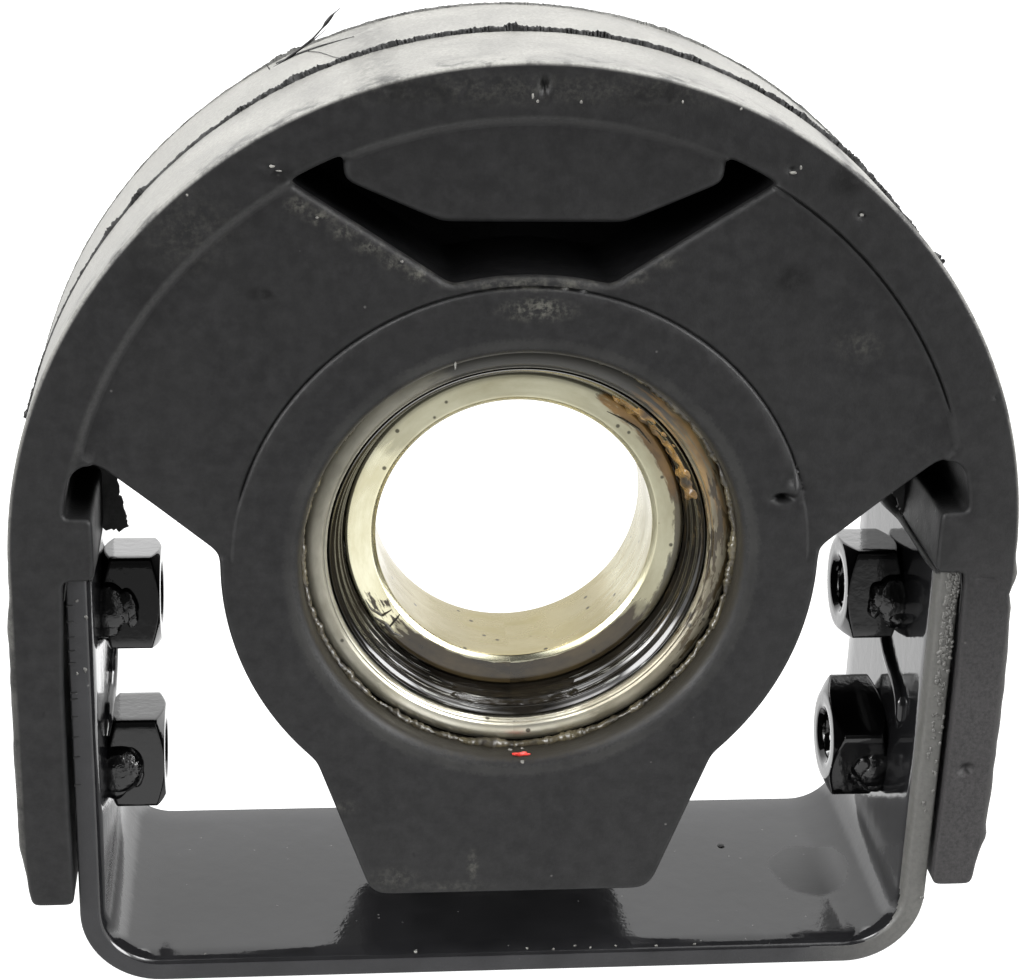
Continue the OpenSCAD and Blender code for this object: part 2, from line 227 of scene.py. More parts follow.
def addNode(tree, kind, inputs, **settings):
    node = tree.nodes.new("ShaderNode" + kind)
    for key, value in settings.items():
        setattr(node, key, value)
    feed(node, inputs)
    return node.outputs


def maths(operation, *values):
    tree = next(value.id_data for value in values if isSocket(value))
    return addNode(tree, "Math", dict(enumerate(values)), operation=operation)[0]


def times(first, *others):
    for value in others:
        first = maths("MULTIPLY", first, value)
    return first


def plus(first, second):
    return maths("ADD", first, second)


def less(first, second):
    return maths("SUBTRACT", first, second)


def remap(value, low, high, toLow=0.0, toHigh=1.0):
    # clamped straight ramp
    return addNode(value.id_data, "MapRange", {0: value, 1: low, 2: high, 3: toLow, 4: toHigh})[0]


def blendColour(amount, first, second):
    return addNode(amount.id_data, "Mix", {0: amount, 6: first, 7: second}, data_type="RGBA")[2]


def noise(where, scale, detail, rough):
    return addNode(where.id_data, "TexNoise",
                   {"Vector": where, "Scale": scale, "Detail": detail, "Roughness": rough})[0]


def vectorMaths(operation, result, *values):
    return addNode(values[0].id_data, "VectorMath", dict(enumerate(values)), operation=operation)[result]


def farFrom(where, centre, scale):
    # distance from a point with each axis scaled
    off = vectorMaths("MULTIPLY", 0, vectorMaths("SUBTRACT", 0, where, centre), scale)
    return vectorMaths("LENGTH", "Value", off)


def shaftRadius(where):
    return farFrom(where, (0, 0, 0), (1, 0, 1))


def here(tree):
    return addNode(tree, "TexCoord", {})["Object"]


def axesOf(where):
    return addNode(where.id_data, "SeparateXYZ", {0: where})


def bump(height, distance, strength):
    return addNode(height.id_data, "Bump", {"Height": height, "Distance": distance, "Strength": strength})[0]


def newGroup(name, inputs, outputs):
    group = bpy.data.node_groups.new(name, "ShaderNodeTree")
    for label in inputs:
        group.interface.new_socket(label, in_out="INPUT", socket_type="NodeSocketFloat")
    for label in outputs:
        group.interface.new_socket(label, in_out="OUTPUT", socket_type="NodeSocketFloat")
    given = group.nodes.new("NodeGroupInput")
    made = group.nodes.new("NodeGroupOutput")
    return group, given.outputs, made, here(group)


def placeGroup(tree, group, values):
    node = tree.nodes.new("ShaderNodeGroup")
    node.node_tree = group
    feed(node, values)
    return node.outputs


def newMaterial(name):
    material = bpy.data.materials.new(name)
    material.use_nodes = True
    tree = material.node_tree
    return material, tree, tree.nodes["Principled BSDF"]


def makeGrain():
    # moulding grain: fine tooth, wide blotches, and sparse round pits
    group, given, made, where = newGroup(
        "mouldGrain", ("FineScale", "BlotchScale", "PitScale", "PitSize", "PitShare"), ("Fine", "Blotch", "Pits"))
    cell = addNode(group, "TexVoronoi", {"Vector": where, "Scale": given["PitScale"]})
    core = remap(less(given["PitSize"], cell["Distance"]), 0.0, 0.08)
    pick = addNode(group, "SeparateColor", {0: cell["Color"]})[0]
    feed(made, {"Fine": noise(where, given["FineScale"], 4.0, 0.6),
                "Blotch": noise(where, given["BlotchScale"], 5.0, 0.6),
                "Pits": times(core, maths("LESS_THAN", pick, given["PitShare"]))})
    return group


def smearNoise(where, turns, scale, detail):
    # noise drawn out round the shaft
    x, y, z = axesOf(where)
    place = {0: times(maths("ARCTAN2", x, z), turns), 1: times(shaftRadius(where), scale), 2: times(y, scale)}
    return noise(addNode(where.id_data, "CombineXYZ", place)[0], 1.0, detail, 0.6)


def makeTurning():
    # turning marks: rings about the shaft and smears drawn round it
    group, given, made, where = newGroup("turningMarks", ("RingScale", "SmearTurns", "SmearScale"), ("Rings", "Smear"))
    across = plus(shaftRadius(where), axesOf(where)[1])
    rings = {"W": across, "Scale": given["RingScale"], "Detail": 3.0}
    feed(made, {"Rings": addNode(group, "TexNoise", rings, noise_dimensions="1D")[0],
                "Smear": smearNoise(where, given["SmearTurns"], given["SmearScale"], 5.0)})
    return group


def makePatch():
    # patch used for grease, for painted shade and for painted highlight: near one direction from the shaft and beyond a
    # radius, its border torn by smears round the shaft
    group, given, made, where = newGroup(
        "greaseAndLightPatch", ("DirX", "DirZ", "CosFrom", "CosTo", "RadiusFrom", "RadiusTo", "SmearScale", "Ragged", "Cover",
                        "Turns"), ("Mask",))
    x, _, z = axesOf(where)
    radius = shaftRadius(where)
    near = maths("DIVIDE", plus(times(x, given["DirX"]), times(z, given["DirZ"])), radius)
    full = times(remap(near, given["CosFrom"], given["CosTo"]), remap(radius, given["RadiusFrom"], given["RadiusTo"]))
    tear = times(less(smearNoise(where, given["Turns"], given["SmearScale"], 4.0), 0.5), given["Ragged"])
    edge = plus(times(full, given["Cover"]), times(tear, full, 2.0))
    feed(made, {"Mask": remap(edge, 0.35, 0.6)})
    return group


grain = makeGrain()
turning = makeTurning()
patch = makePatch()
rubberGrain = {"FineScale": 1600.0, "BlotchScale": 70.0, "PitScale": 260.0, "PitSize": 0.09, "PitShare": 0.12}
paintGrain = {"FineScale": 260.0, "BlotchScale": 90.0, "PitScale": 420.0, "PitSize": 0.13, "PitShare": 0.12}


# finishes
def archSheen(where, marks, radius):
    # pale sheen of the top light painted on the outside of the arch, thinner down the legs: by distance from the shaft,
    # or from the middle plane below it, smudged near the front edge, broken by blotches and fine grain
    x, y, z = axesOf(where)
    up = maths("MAXIMUM", z, 0.0)
    reach = maths("SQRT", plus(maths("POWER", x, 2.0), maths("POWER", up, 2.0)))
    smudge = times(remap(noise(where, 130.0, 6.0, 0.7), 0.5, 0.64, 0.0, 0.8), remap(y, -0.016, -0.0255))
    return times(remap(reach, (radius - 0.75) * mm, (radius - 0.25) * mm), remap(y, 0.0266, 0.0258),
                 less(1.0, smudge), remap(z, -0.03, 0.05, 0.25, 1.0),
                 remap(marks["Blotch"], 0.3, 0.65, 1.0, 0.68), remap(marks["Fine"], 0.35, 0.6, 1.0, 0.72))


def soilAndPaintedLight(where, marks, colour, filmAndLight):
    colour = blendColour(archSheen(where, marks, filmAndLight["radius"]), colour, filmAndLight["tone"])
    x, _, z = axesOf(where)
    radius = shaftRadius(where)
    # grease inside the bearing's lip, and a pale ring round its mouth painted as the highlight on the mouth's round
    reach = plus(radius, remap(marks["Fine"], 0.3, 0.7, -0.0005, 0.0005))
    colour = blendColour(remap(reach, 0.0432, 0.0426), colour, (0.011, 0.0095, 0.0065))
    ring = times(remap(reach, 0.0434, 0.044), remap(reach, 0.0461, 0.0452),
                 remap(marks["Blotch"], 0.35, 0.65, 0.2, 0.9))
    colour = blendColour(ring, colour, (0.019, 0.019, 0.018))
    # streaky dust and patchy dark stains, among them spots of painted highlight and one of painted shade
    streaky = remap(noise(where, 700.0, 6.0, 0.75), 0.45, 0.65)
    patchy = remap(noise(where, 420.0, 5.0, 0.7), 0.38, 0.55)
    for spots, cover, core, tone in ((filmAndLight["dust"], streaky, 0.2, (0.06, 0.059, 0.05)),
                                     (filmAndLight["stains"], patchy, 0.5, (0.0006, 0.0006, 0.0006))):
        for spotX, spotZ, wide, tall, strength in spots:
            far = farFrom(where, (spotX * mm, 0, spotZ * mm), (1000 / wide, 0, 1000 / tall))
            colour = blendColour(times(remap(far, 1.3, core, 0.0, strength), cover), colour, tone)
    # pale step inside the rim, most on the left: painted highlight of its bevel, with some wear; and a dusty right leg
    low, high = [k * mm for k in filmAndLight["edge"]]
    soft = 0.3 * mm
    edge = times(remap(radius, low - soft, low + soft), remap(radius, high + soft, high - soft), remap(z, 0.012, 0.03),
                 remap(x, 0.05, -0.01, 0.15, 1.0), remap(marks["Fine"], 0.3, 0.7, 0.35, 1.0))
    colour = blendColour(edge, colour, (0.022, 0.022, 0.0215))
    leg = times(remap(x, 0.083, 0.087), remap(z, 0.01, -0.03), remap(marks["Fine"], 0.3, 0.65, 0.3, 1.0))
    return blendColour(leg, colour, (0.027, 0.0256, 0.026))


def makeRubber(name, low=(0.003, 0.003, 0.0032), high=(0.0066, 0.0066, 0.0067), rough=(0.42, 0.58), gloss=0.23,
               filmAndLight=None):
    material, tree, shader = newMaterial(name)
    marks, where = placeGroup(tree, grain, rubberGrain), here(tree)
    colour = blendColour(remap(marks["Blotch"], 0.35, 0.68), low, high)
    mottle = remap(noise(where, 330.0, 6.0, 0.75), 0.4, 0.7, 0.0, 0.5)
    colour = blendColour(mottle, colour, [k * 2.6 for k in high])
    colour = blendColour(times(marks["Pits"], 0.8), colour, (0.09, 0.088, 0.084))
    if filmAndLight:
        colour = soilAndPaintedLight(where, marks, colour, filmAndLight)
    height = less(plus(times(marks["Fine"], 0.35), marks["Blotch"]), times(marks["Pits"], 0.5))
    feed(shader, {"Specular IOR Level": gloss, "Base Color": colour, "Normal": bump(height, 0.0003, 0.6),
                  "Roughness": remap(marks["Blotch"], 0.3, 0.7, rough[1], rough[0])})
    return material


def makePaint(name, tone=0.006, rough=(0.05, 0.12), peel=0.00012, dust=0.25, hue=(1.0, 1.0, 1.08), gloss=0.5,
              worn=None, dull=None):
    material, tree, shader = newMaterial(name)
    marks, where = placeGroup(tree, grain, paintGrain), here(tree)
    x, _, z = axesOf(where)
    colour = blendColour(remap(marks["Blotch"], 0.35, 0.7), *[[tone * share * k for k in hue] for share in (1, 1.6)])
    colour = blendColour(times(marks["Pits"], dust), colour, (0.3, 0.3, 0.29))
    roughness = remap(marks["Blotch"], 0.3, 0.75, *rough)
    if worn:
        # paler on the right leg, and mottled near its top beyond a line along it
        share = times(remap(x, 0.06, 0.085), remap(noise(where, 900.0, 5.0, 0.65), 0.38, 0.6, 0.75, 1.0))
        colour = blendColour(share, colour, worn["tone"])
        rim = times(remap(x, worn["from"] * mm, worn["to"] * mm), remap(z, -0.045, -0.018, 0.15, 1.0),
                    remap(noise(where, 420.0, 6.0, 0.7), 0.42, 0.6, 0.0, 0.85))
        colour = blendColour(rim, colour, (0.02, 0.019, 0.016))
    if dull:
        # dull oval on the strap's floor: middle and half sizes along x and y, and the roughness added
        far = farFrom(where, (dull["x"] * mm, dull["y"] * mm, 0), (1000 / dull["wide"], 1000 / dull["long"], 0))
        far = plus(far, remap(marks["Blotch"], 0.3, 0.7, -0.12, 0.12))
        roughness = plus(roughness, times(remap(z, -0.084, -0.086), remap(far, 1.0, 0.85, 0.0, dull["rough"])))
    feed(shader, {"Specular IOR Level": gloss, "Base Color": colour, "Roughness": roughness,
                  "Normal": bump(marks["Fine"], peel, 0.5)})
    return material


def makeSteel(name, tones, rough, ringDepth=0.00002, metal=1.0, smearTurns=2.0, patches=(), bore=None, upper=None,
              speckle=None):
    material, tree, shader = newMaterial(name)
    where = here(tree)
    marks = placeGroup(tree, turning, {"RingScale": 3000.0, "SmearTurns": smearTurns, "SmearScale": 160.0})
    smear = remap(marks["Smear"], 0.35, 0.68)
    colour, metallic = blendColour(smear, *tones), metal
    roughness = remap(marks["Smear"], 0.3, 0.7, *rough)
    if bore:
        # other tones inside a radius
        inside = remap(shaftRadius(where), bore["radius"] * mm, (bore["radius"] - 0.2) * mm)
        colour = blendColour(inside, colour, blendColour(smear, *bore["tones"]))
    if upper:
        # darker over the upper side, from one height to another
        level = plus(axesOf(where)[2], remap(marks["Smear"], 0.3, 0.7, -0.006, 0.006))
        filmAndLight = remap(level, upper["low"] * mm, upper["high"] * mm, 0.0, upper["share"])
        colour = blendColour(filmAndLight, colour, upper["tone"])
        metallic = less(metal, filmAndLight)
    for spot in patches:
        a, half = math.radians(spot["angle"]), math.radians(spot["spread"])
        mask = placeGroup(tree, patch, {
            "DirX": math.cos(a), "DirZ": math.sin(a), "CosFrom": math.cos(half), "CosTo": math.cos(half * 0.55),
            "RadiusFrom": spot["inner"] * mm, "RadiusTo": spot["outer"] * mm, "Ragged": spot["ragged"],
            "Cover": spot["cover"], "Turns": spot["turns"], "SmearScale": spot["smear"]})["Mask"]
        mask = times(mask, spot["share"])
        colour = blendColour(mask, colour, blendColour(smear, *spot["tones"]))
        roughness = plus(times(roughness, less(1.0, mask)), times(mask, spot["rough"]))
        metallic = times(metallic, less(1.0, times(mask, 1 - spot["metal"])))
    if speckle:
        dots = placeGroup(tree, grain, dict(rubberGrain, PitScale=speckle, PitSize=0.22, PitShare=0.16))["Pits"]
        colour = blendColour(times(dots, 0.8), colour, (0.012, 0.01, 0.007))
    feed(shader, {"Base Color": colour, "Roughness": roughness, "Metallic": metallic,
                  "Normal": bump(marks["Rings"], ringDepth, 0.6)})
    return material


def greaseAndLightAt(tones, angle, spread, inner, outer, ragged, rough, **more):
    # patch about an angle in degrees, fading in between two radii
    spot = {"cover": 1.0, "turns": 7.0, "smear": 900.0, "share": 1.0, "metal": 0.0}
    return dict(spot, tones=tones, angle=angle, spread=spread, inner=inner, outer=outer, ragged=ragged, rough=rough,
                **more)


# spots on the front: x, z, half width, half height, strength
frontSoilAndLight = {
    # radius and tone of the pale sheen painted on the arch, and radii of the pale band painted on the step inside the
    # rim
    "radius": 97.0, "tone": (0.145, 0.143, 0.132), "edge": (86.0, 87.3),
    # the stain at x 46.5, z 13.5 is painted shade by the dent low on the hub's right; the others are stains
    "stains": ((48.0, 57.0, 3.6, 2.6, 1.0), (-49.0, 54.0, 2.6, 1.3, 1.0), (57.0, 76.0, 3.5, 3.0, 0.9),
               (-45.5, 76.4, 3.6, 1.6, 0.9), (0.9, 92.4, 1.6, 2.6, 0.9), (-22.0, 91.5, 9.0, 2.0, 0.7),
               (20.0, 91.0, 7.0, 2.4, 0.7), (-70.0, 56.0, 4.0, 6.0, 0.6), (91.9, -46.3, 2.4, 2.0, 1.0),
               (46.5, 13.5, 2.6, 2.6, 0.5)),
    # the pale spots from x -42.5 to -21.0, and at x 19.0 and 24.0, are painted highlight along the slot's lower edges;
    # the others are dust
    "dust": ((1.0, 51.3, 7.0, 2.2, 1.0), (2.0, 52.0, 2.5, 1.6, 1.0), (0.0, 56.0, 16.0, 1.2, 0.8),
             (-8.0, -65.9, 1.2, 3.5, 0.7), (-34.0, -52.0, 3.0, 1.5, 0.4), (62.0, 44.0, 5.0, 3.0, 0.35),
             (-42.5, 70.6, 2.4, 1.6, 0.9), (-38.5, 68.3, 3.0, 1.6, 0.9), (-34.0, 65.7, 3.0, 1.6, 0.8),
             (-29.5, 62.9, 3.0, 1.6, 0.8), (-25.0, 60.2, 3.0, 1.6, 0.9), (-21.0, 57.8, 2.6, 1.6, 1.0),
             (19.0, 57.4, 2.4, 1.4, 0.6), (24.0, 60.2, 3.0, 1.3, 0.4), (0.0, 92.0, 60.0, 3.0, 0.3),
             (-62.0, 66.0, 9.0, 8.0, 0.25), (-24.0, -69.0, 5.0, 3.0, 0.45), (-12.0, -71.0, 8.0, 1.5, 0.4))}
cushionRubber = makeRubber("cushionRubber", filmAndLight=frontSoilAndLight)
dustyRubber = makeRubber("dustyRubber", (0.06, 0.06, 0.058), (0.12, 0.12, 0.115), (0.5, 0.7))
# darker, duller rubber for the inside of the slot, painted shade
slotShadeRubber = makeRubber("slotShadeRubber", (0.0012, 0.0012, 0.0014), (0.003, 0.003, 0.0032), (0.6, 0.8), 0.06)
flashRubber = makeRubber("flashRubber", (0.004, 0.004, 0.004), (0.012, 0.012, 0.012), (0.45, 0.65))
chalk = makeRubber("chalkSpeck", (0.04, 0.039, 0.036), (0.13, 0.128, 0.118), (0.6, 0.8))
strapPaint = makePaint("strapPaint", dull={"x": 68.9, "y": 2.8, "wide": 9.5, "long": 11.0, "rough": 0.32})
strapEdgePaint = makePaint("strapEdgePaint", 0.011, (0.35, 0.55), 0.0005, 0.3, gloss=0.3,
                           worn={"from": 84.9, "to": 85.3, "tone": (0.07, 0.069, 0.064)})
gritPaint = makePaint("gritPaint", 0.045, (0.4, 0.6), 0.0004, 0.4, (1.0, 0.98, 0.9))
nutPaint = makePaint("nutPaint", 0.0016, (0.05, 0.12), 0.00015, 0.15)
beadPaint = makePaint("beadPaint", 0.0016, (0.04, 0.08), 0.0011, 0.1)
redPaint = makePaint("redPaint", 0.3, (0.25, 0.45), 0.0002, 0.2, (1.0, 0.06, 0.04))
darkGrease = ((0.012, 0.009, 0.005), (0.05, 0.036, 0.016))
brownGrease = ((0.22, 0.125, 0.035), (0.02, 0.013, 0.007))
paintedShadeTones = ((0.43, 0.415, 0.3), (0.29, 0.27, 0.18))
# the two patches in pale tones, over the top and the right of the face, are painted shade; the others are grease
innerSteel = makeSteel(
    "innerRingSteel", ((0.76, 0.74, 0.56), (0.62, 0.58, 0.38)), (0.16, 0.34), speckle=420.0,
    bore={"radius": 27.75, "tones": ((0.31, 0.275, 0.165), (0.25, 0.215, 0.11))},
    patches=(greaseAndLightAt(paintedShadeTones, 95, 62, 27.0, 28.0, 0.5, 0.3, metal=0.9, share=0.8),
             greaseAndLightAt(paintedShadeTones, 5, 72, 27.0, 28.0, 0.6, 0.3, metal=0.7),
             greaseAndLightAt(darkGrease, -86, 66, 27.9, 29.3, 0.7, 0.12),
             greaseAndLightAt(darkGrease, 12, 60, 30.6, 32.6, 1.4, 0.2, share=0.85),
             greaseAndLightAt(brownGrease, 36, 30, 30.0, 32.4, 1.3, 0.3),
             greaseAndLightAt(darkGrease, -146, 14, 27.0, 29.0, 2.2, 0.15, cover=0.2)))
outerSteel = makeSteel("outerRingSteel", ((0.62, 0.60, 0.50), (0.45, 0.42, 0.32)), (0.2, 0.4))
sealSteel = makeSteel(
    "sealCaseSteel", ((0.74, 0.72, 0.62), (0.46, 0.43, 0.33)), (0.26, 0.44), smearTurns=3.0, speckle=380.0,
    upper={"low": -34.0, "high": 27.0, "share": 0.97, "tone": (0.011, 0.0105, 0.009)},
    patches=(greaseAndLightAt(((0.2, 0.19, 0.15), (0.1, 0.094, 0.07)), 172, 72, 36.0, 36.4, 0.5, 0.36, share=0.75, metal=0.7),
             greaseAndLightAt(((0.12, 0.1, 0.055), (0.05, 0.04, 0.02)), -12, 70, 36.0, 36.4, 0.6, 0.36, share=0.75, metal=0.4),
             greaseAndLightAt(brownGrease, 30, 34, 36.0, 36.8, 2.2, 0.3, cover=0.5, share=0.75, turns=4.0, smear=1500.0),
             greaseAndLightAt(darkGrease, -8, 40, 36.0, 37.0, 2.0, 0.2, cover=0.4)))
greaseBlack = makeSteel("greaseBlack", ((0.005, 0.0045, 0.004), (0.014, 0.011, 0.007)), (0.05, 0.16), 0.00006, 0.0, 5.0)
greaseBrown = makeSteel("greaseBrown", ((0.24, 0.135, 0.035), (0.014, 0.01, 0.006)), (0.15, 0.4), 0.00015, 0.0, 9.0)
greaseOlive = makeSteel("greaseOlive", ((0.06, 0.051, 0.03), (0.008, 0.0065, 0.005)), (0.12, 0.4), 0.00015, 0.0, 14.0)
cageSteel = makeSteel("cageSteel", ((0.5, 0.48, 0.42), (0.33, 0.31, 0.26)), (0.25, 0.45))
ballSteel = makeSteel("ballSteel", ((0.78, 0.78, 0.79), (0.68, 0.68, 0.68)), (0.04, 0.1))
# wet black lip with pale streaks low on both sides, painted highlights of its ridges
paintedStreakHighlight = ((0.55, 0.55, 0.52), (0.2, 0.2, 0.18))
sealRubber = makeSteel(
    "sealLipRubber", ((0.003, 0.0028, 0.0025), (0.012, 0.01, 0.007)), (0.05, 0.14), 0.000008, 0.0, 3.0,
    patches=(greaseAndLightAt(paintedStreakHighlight, -124, 38, 33.0, 34.0, 1.7, 0.2, cover=0.1, share=0.85, turns=2.2, smear=1100.0),
             greaseAndLightAt(paintedStreakHighlight, -50, 32, 33.0, 34.0, 1.7, 0.2, cover=0.0, share=0.8, turns=2.6, smear=1100.0),
             greaseAndLightAt(darkGrease, -4, 48, 33.0, 34.0, 1.6, 0.2, cover=0.2)))
print("finishes made")


# rubber cushion
boltLevels = (-19.3, -55.3)
boltDepths = {-1: 4.55, 1: 5.35}
cushion = {
    "radius": 97.0, "halfDepth": 27.25, "rimInner": 87.0, "legBottom": -73.5, "toeCutIn": 1.6, "toeCutUp": 13.0,
    "shoulderX": 81.0, "shoulderTop": 10.2, "shoulderUnder": -2.5, "hub": 57.5, "boss": 55.0, "webRecess": 1.0,
    "stepWidth": 1.6, "rimCrease": (0.75, 0.3, 0.45), "slotRound": 1.6, "stopRound": 2.2, "bossDrop": 0.35,
    "creaseDeep": 0.55, "creaseHalf": 0.32, "creaseOut": 0.4, "edgeRound": 1.0, "cornerSoft": 1.1,
    # starts and widths of ramps: web out of the boss, creases by height, by distance above the arm and by x
    "webRamp": 18, "bossRamp": 0.5, "armRamp": 0.8, "creaseAbove": (0, 4), "creaseZ": (11, 6),
    "rimCreaseX": (36, 14), "rimCreaseAbove": (3, 8), "stopZ": (64, 2), "stopX": (22, -8),
    "armSlope": 39.0, "armRoot": (59.0, 4.0), "armRootFillet": 3.0, "armTipFillet": 4.0,
    "slotSlope": 33.0, "slotFloor": 46.1, "stopUnder": 67.2, "stopHalf": 16.5, "stopFullHalf": 34.5,
    "stopRise": 7.8, "stopCorner": 2.0,
    "tongueBottom": -72.6, "tongueHalf": 28.2, "tongueDraft": 20.0, "tongueCorner": 4.0,
    "lip": 42.2, "mouthRound": 3.0, "groove": 45.1, "grooveHalf": 11.1, "boreSegments": 288,
    # dents of the front face, bumps where the depth is below zero: x, z, half width, half height, depth
    "marks": ((0.9, 92.9, 0.8, 1.7, 1.3), (-47.8, 78.1, 1.5, 0.8, 0.5), (-44.3, 75.4, 1.6, 0.7, 0.5),
              (46.4, 77.8, 0.9, 0.8, 0.6), (60.1, 69.5, 1.1, 0.9, 0.6), (91.9, -46.3, 1.6, 1.3, 1.6),
              (51.5, 15.9, 1.2, 1.9, -1.5), (49.9, 13.5, 1.8, 0.8, 2.8), (90.5, -3.6, 3.0, 0.4, 0.35),
              (-91.5, -30.0, 0.7, 0.6, 0.3), (88.9, 34.0, 0.6, 0.6, 0.3), (-20.0, -63.0, 0.6, 0.6, 0.25)),
    # ramps of the legs' splay down to their middles and back, and of their inner and outer edges
    "legWave": 0.22, "legSplay": 0.8, "splayZ": (0, -30), "splayBack": (-45, -30), "splayLoss": 0.35,
    "legInX": (84, 2), "legOutX": (91, 3), "legZ": (12, -20), "waveLength": 180,
    # steps of the legs' outer edges: side, height, spread, size
    "legSteps": ((1, -3.0, 2.2, 0.9), (1, -7.5, 1.6, -0.5), (-1, -12.0, 3.0, 0.4), (1, -62.0, 2.0, 0.5)),
    # dark skin across the slot that keeps light from behind out of it, and how far the slot's darker rubber, painted
    # shade, keeps from the faces, the hub and the rim
    "skinHalf": 0.6, "skinGrow": 0.6, "skinWrinkle": 0.12, "skinSeed": 71, "slotFrom": 2.6, "slotLow": 48,
    "slotOver": 0.3, "holeRadius": 7.5, "holeSpan": (78, 110), "lipEnd": 18.0,
}


def armGeometry(c):
    # unit vectors along and below the right arm's lower edge, and the edge's distance from the axis
    a = math.radians(c["armSlope"])
    along, below = np.array([math.cos(a), math.sin(a)]), np.array([math.sin(a), -math.cos(a)])
    return along, below, float(below @ np.array(c["armRoot"]))


def armPoint(c, beyond, radius):
    # point at a distance below the arm's edge and at a radius from the axis
    along, below, offset = armGeometry(c)
    return below * (offset + beyond) + along * math.sqrt(radius ** 2 - (offset + beyond) ** 2)


def cornerArc(before, corner, after, radius):
    # fillet of a corner between two straight lines
    u, v = [(np.array(q, float) - corner) / np.hypot(*(np.array(q, float) - corner)) for q in (before, after)]
    half = math.acos(float(u @ v)) / 2
    centre = np.array(corner) + (u + v) / np.hypot(*(u + v)) * radius / math.sin(half)
    start, end = [np.array(corner) + w * radius / math.tan(half) for w in (u, v)]
    return shortArc(centre, start, end)


def mirrored(half):
    # right half of a loop from bottom to top, followed by its mirror image
    return np.vstack([half, (half * [-1, 1])[::-1][1:-1]])


def outerLoop(c):
    # outline of the cushion from the tongue's foot round the right side to the crown, then the left
    foot = np.array([c["tongueHalf"], c["tongueBottom"]])
    z = np.linspace(-50, -30, 400)
    x = foot[0] + (z - foot[1]) * math.tan(math.radians(c["tongueDraft"]))
    meet = int(np.argmin(np.abs(np.hypot(x, z) - c["hub"])))
    hubStart = np.array([x[meet], z[meet]])
    root = armPoint(c, c["armRootFillet"], c["hub"] + c["armRootFillet"])
    tip = armPoint(c, c["armTipFillet"], c["rimInner"] - c["armTipFillet"])
    below = armGeometry(c)[1]
    rootOnHub, rootOnArm = root * c["hub"] / np.hypot(*root), root - below * c["armRootFillet"]
    tipOnArm, tipOnRim = tip - below * c["armTipFillet"], tip * c["rimInner"] / np.hypot(*tip)
    rimEnd = math.degrees(math.asin(c["shoulderTop"] / c["rimInner"]))
    toe = c["radius"] - c["toeCutIn"]
    return mirrored(np.vstack([
        [[0, foot[1]]],
        cornerArc((0, foot[1]), foot, hubStart, c["tongueCorner"]),
        arc((0, 0), c["hub"], angleOf(hubStart), angleOf(rootOnHub)),
        shortArc(root, rootOnHub, rootOnArm),
        shortArc(tip, tipOnArm, tipOnRim),
        arc((0, 0), c["rimInner"], angleOf(tipOnRim), rimEnd, 30),
        [[c["shoulderX"], c["shoulderTop"]], [c["shoulderX"], c["shoulderUnder"]],
         [c["rimInner"], c["shoulderUnder"]], [c["rimInner"], c["legBottom"]], [toe, c["legBottom"]],
         [c["radius"], c["legBottom"] + c["toeCutUp"]]],
        arc((0, 0), c["radius"], 0, 90, 120)]))


def slotLoop(c):
    # outline of the slot over the hub, taken with the rubber on its left
    slope = math.tan(math.radians(c["slotSlope"]))

    def onCircle(radius):
        a, b, d = 1 + slope ** 2, 2 * slope * c["slotFloor"], c["slotFloor"] ** 2 - radius ** 2
        x = (-b + math.sqrt(b * b - 4 * a * d)) / (2 * a)
        return np.array([x, c["slotFloor"] + slope * x])
    stopTop = (c["stopFullHalf"], math.sqrt(c["rimInner"] ** 2 - c["stopFullHalf"] ** 2))
    stopEnd = (c["stopFullHalf"], c["stopUnder"] + c["stopRise"])
    stopFlat = (c["stopHalf"], c["stopUnder"])
    return mirrored(np.vstack([
        arc((0, 0), c["hub"], 90, angleOf(onCircle(c["hub"])), 20),
        arc((0, 0), c["rimInner"], angleOf(onCircle(c["rimInner"])), angleOf(stopTop), 10),
        cornerArc(stopTop, stopEnd, stopFlat, c["stopCorner"]),
        [stopFlat, (0, c["stopUnder"])]]))[::-1]


def faceRecess(c, x, z):
    # depth of the web below the rim's and the hub's faces: a wide bevel at the rim, fading towards the boss,
    # with a narrow crease round the boss above the arms' lower edges, and one inside the rim on the right
    below, offset = armGeometry(c)[1:]
    r = np.hypot(x, z)
    above = offset - (np.abs(x) * below[0] + z * below[1])
    web = np.clip((c["rimInner"] - r) / c["stepWidth"], 0, 1) * smoothStep(above / c["armRamp"] + 0.5)
    drop = c["bossDrop"] + (c["webRecess"] - c["bossDrop"]) * ramp(r, c["boss"], c["webRamp"])
    crease = c["creaseDeep"] * np.exp(-((r - c["boss"] - c["creaseOut"]) / c["creaseHalf"]) ** 2)
    crease = crease * ramp(above, *c["creaseAbove"]) * ramp(z, *c["creaseZ"])
    deep, half, inside = c["rimCrease"]
    right = ramp(x, *c["rimCreaseX"]) * ramp(above, *c["rimCreaseAbove"])
    crease = crease + deep * np.exp(-((r - c["rimInner"] + inside) / half) ** 2) * right
    return web * drop * ramp(r, c["boss"], c["bossRamp"]) + crease


def legSpread(c, points):
    # the legs stand out a little, most at the middle of their height, and their trimmed outer edges waver
    x, z = points[:, 0], points[:, 1]
    lean = ramp(z, *c["splayZ"]) * (1 - c["splayLoss"] * ramp(z, *c["splayBack"])) * ramp(np.abs(x), *c["legInX"])
    outside = ramp(np.abs(x), *c["legOutX"]) * ramp(z, *c["legZ"])
    waver = c["legWave"] * np.where(x > 0, *[ripple(z, seed, c["waveLength"], 40) for seed in (21, 22)])
    for side, level, spread, size in c["legSteps"]:
        waver = waver + np.where(side * x > 0, size * np.exp(-((z - level) / spread) ** 2), 0)
    return columns(x + np.sign(x) * (c["legSplay"] * lean + waver * outside), z)


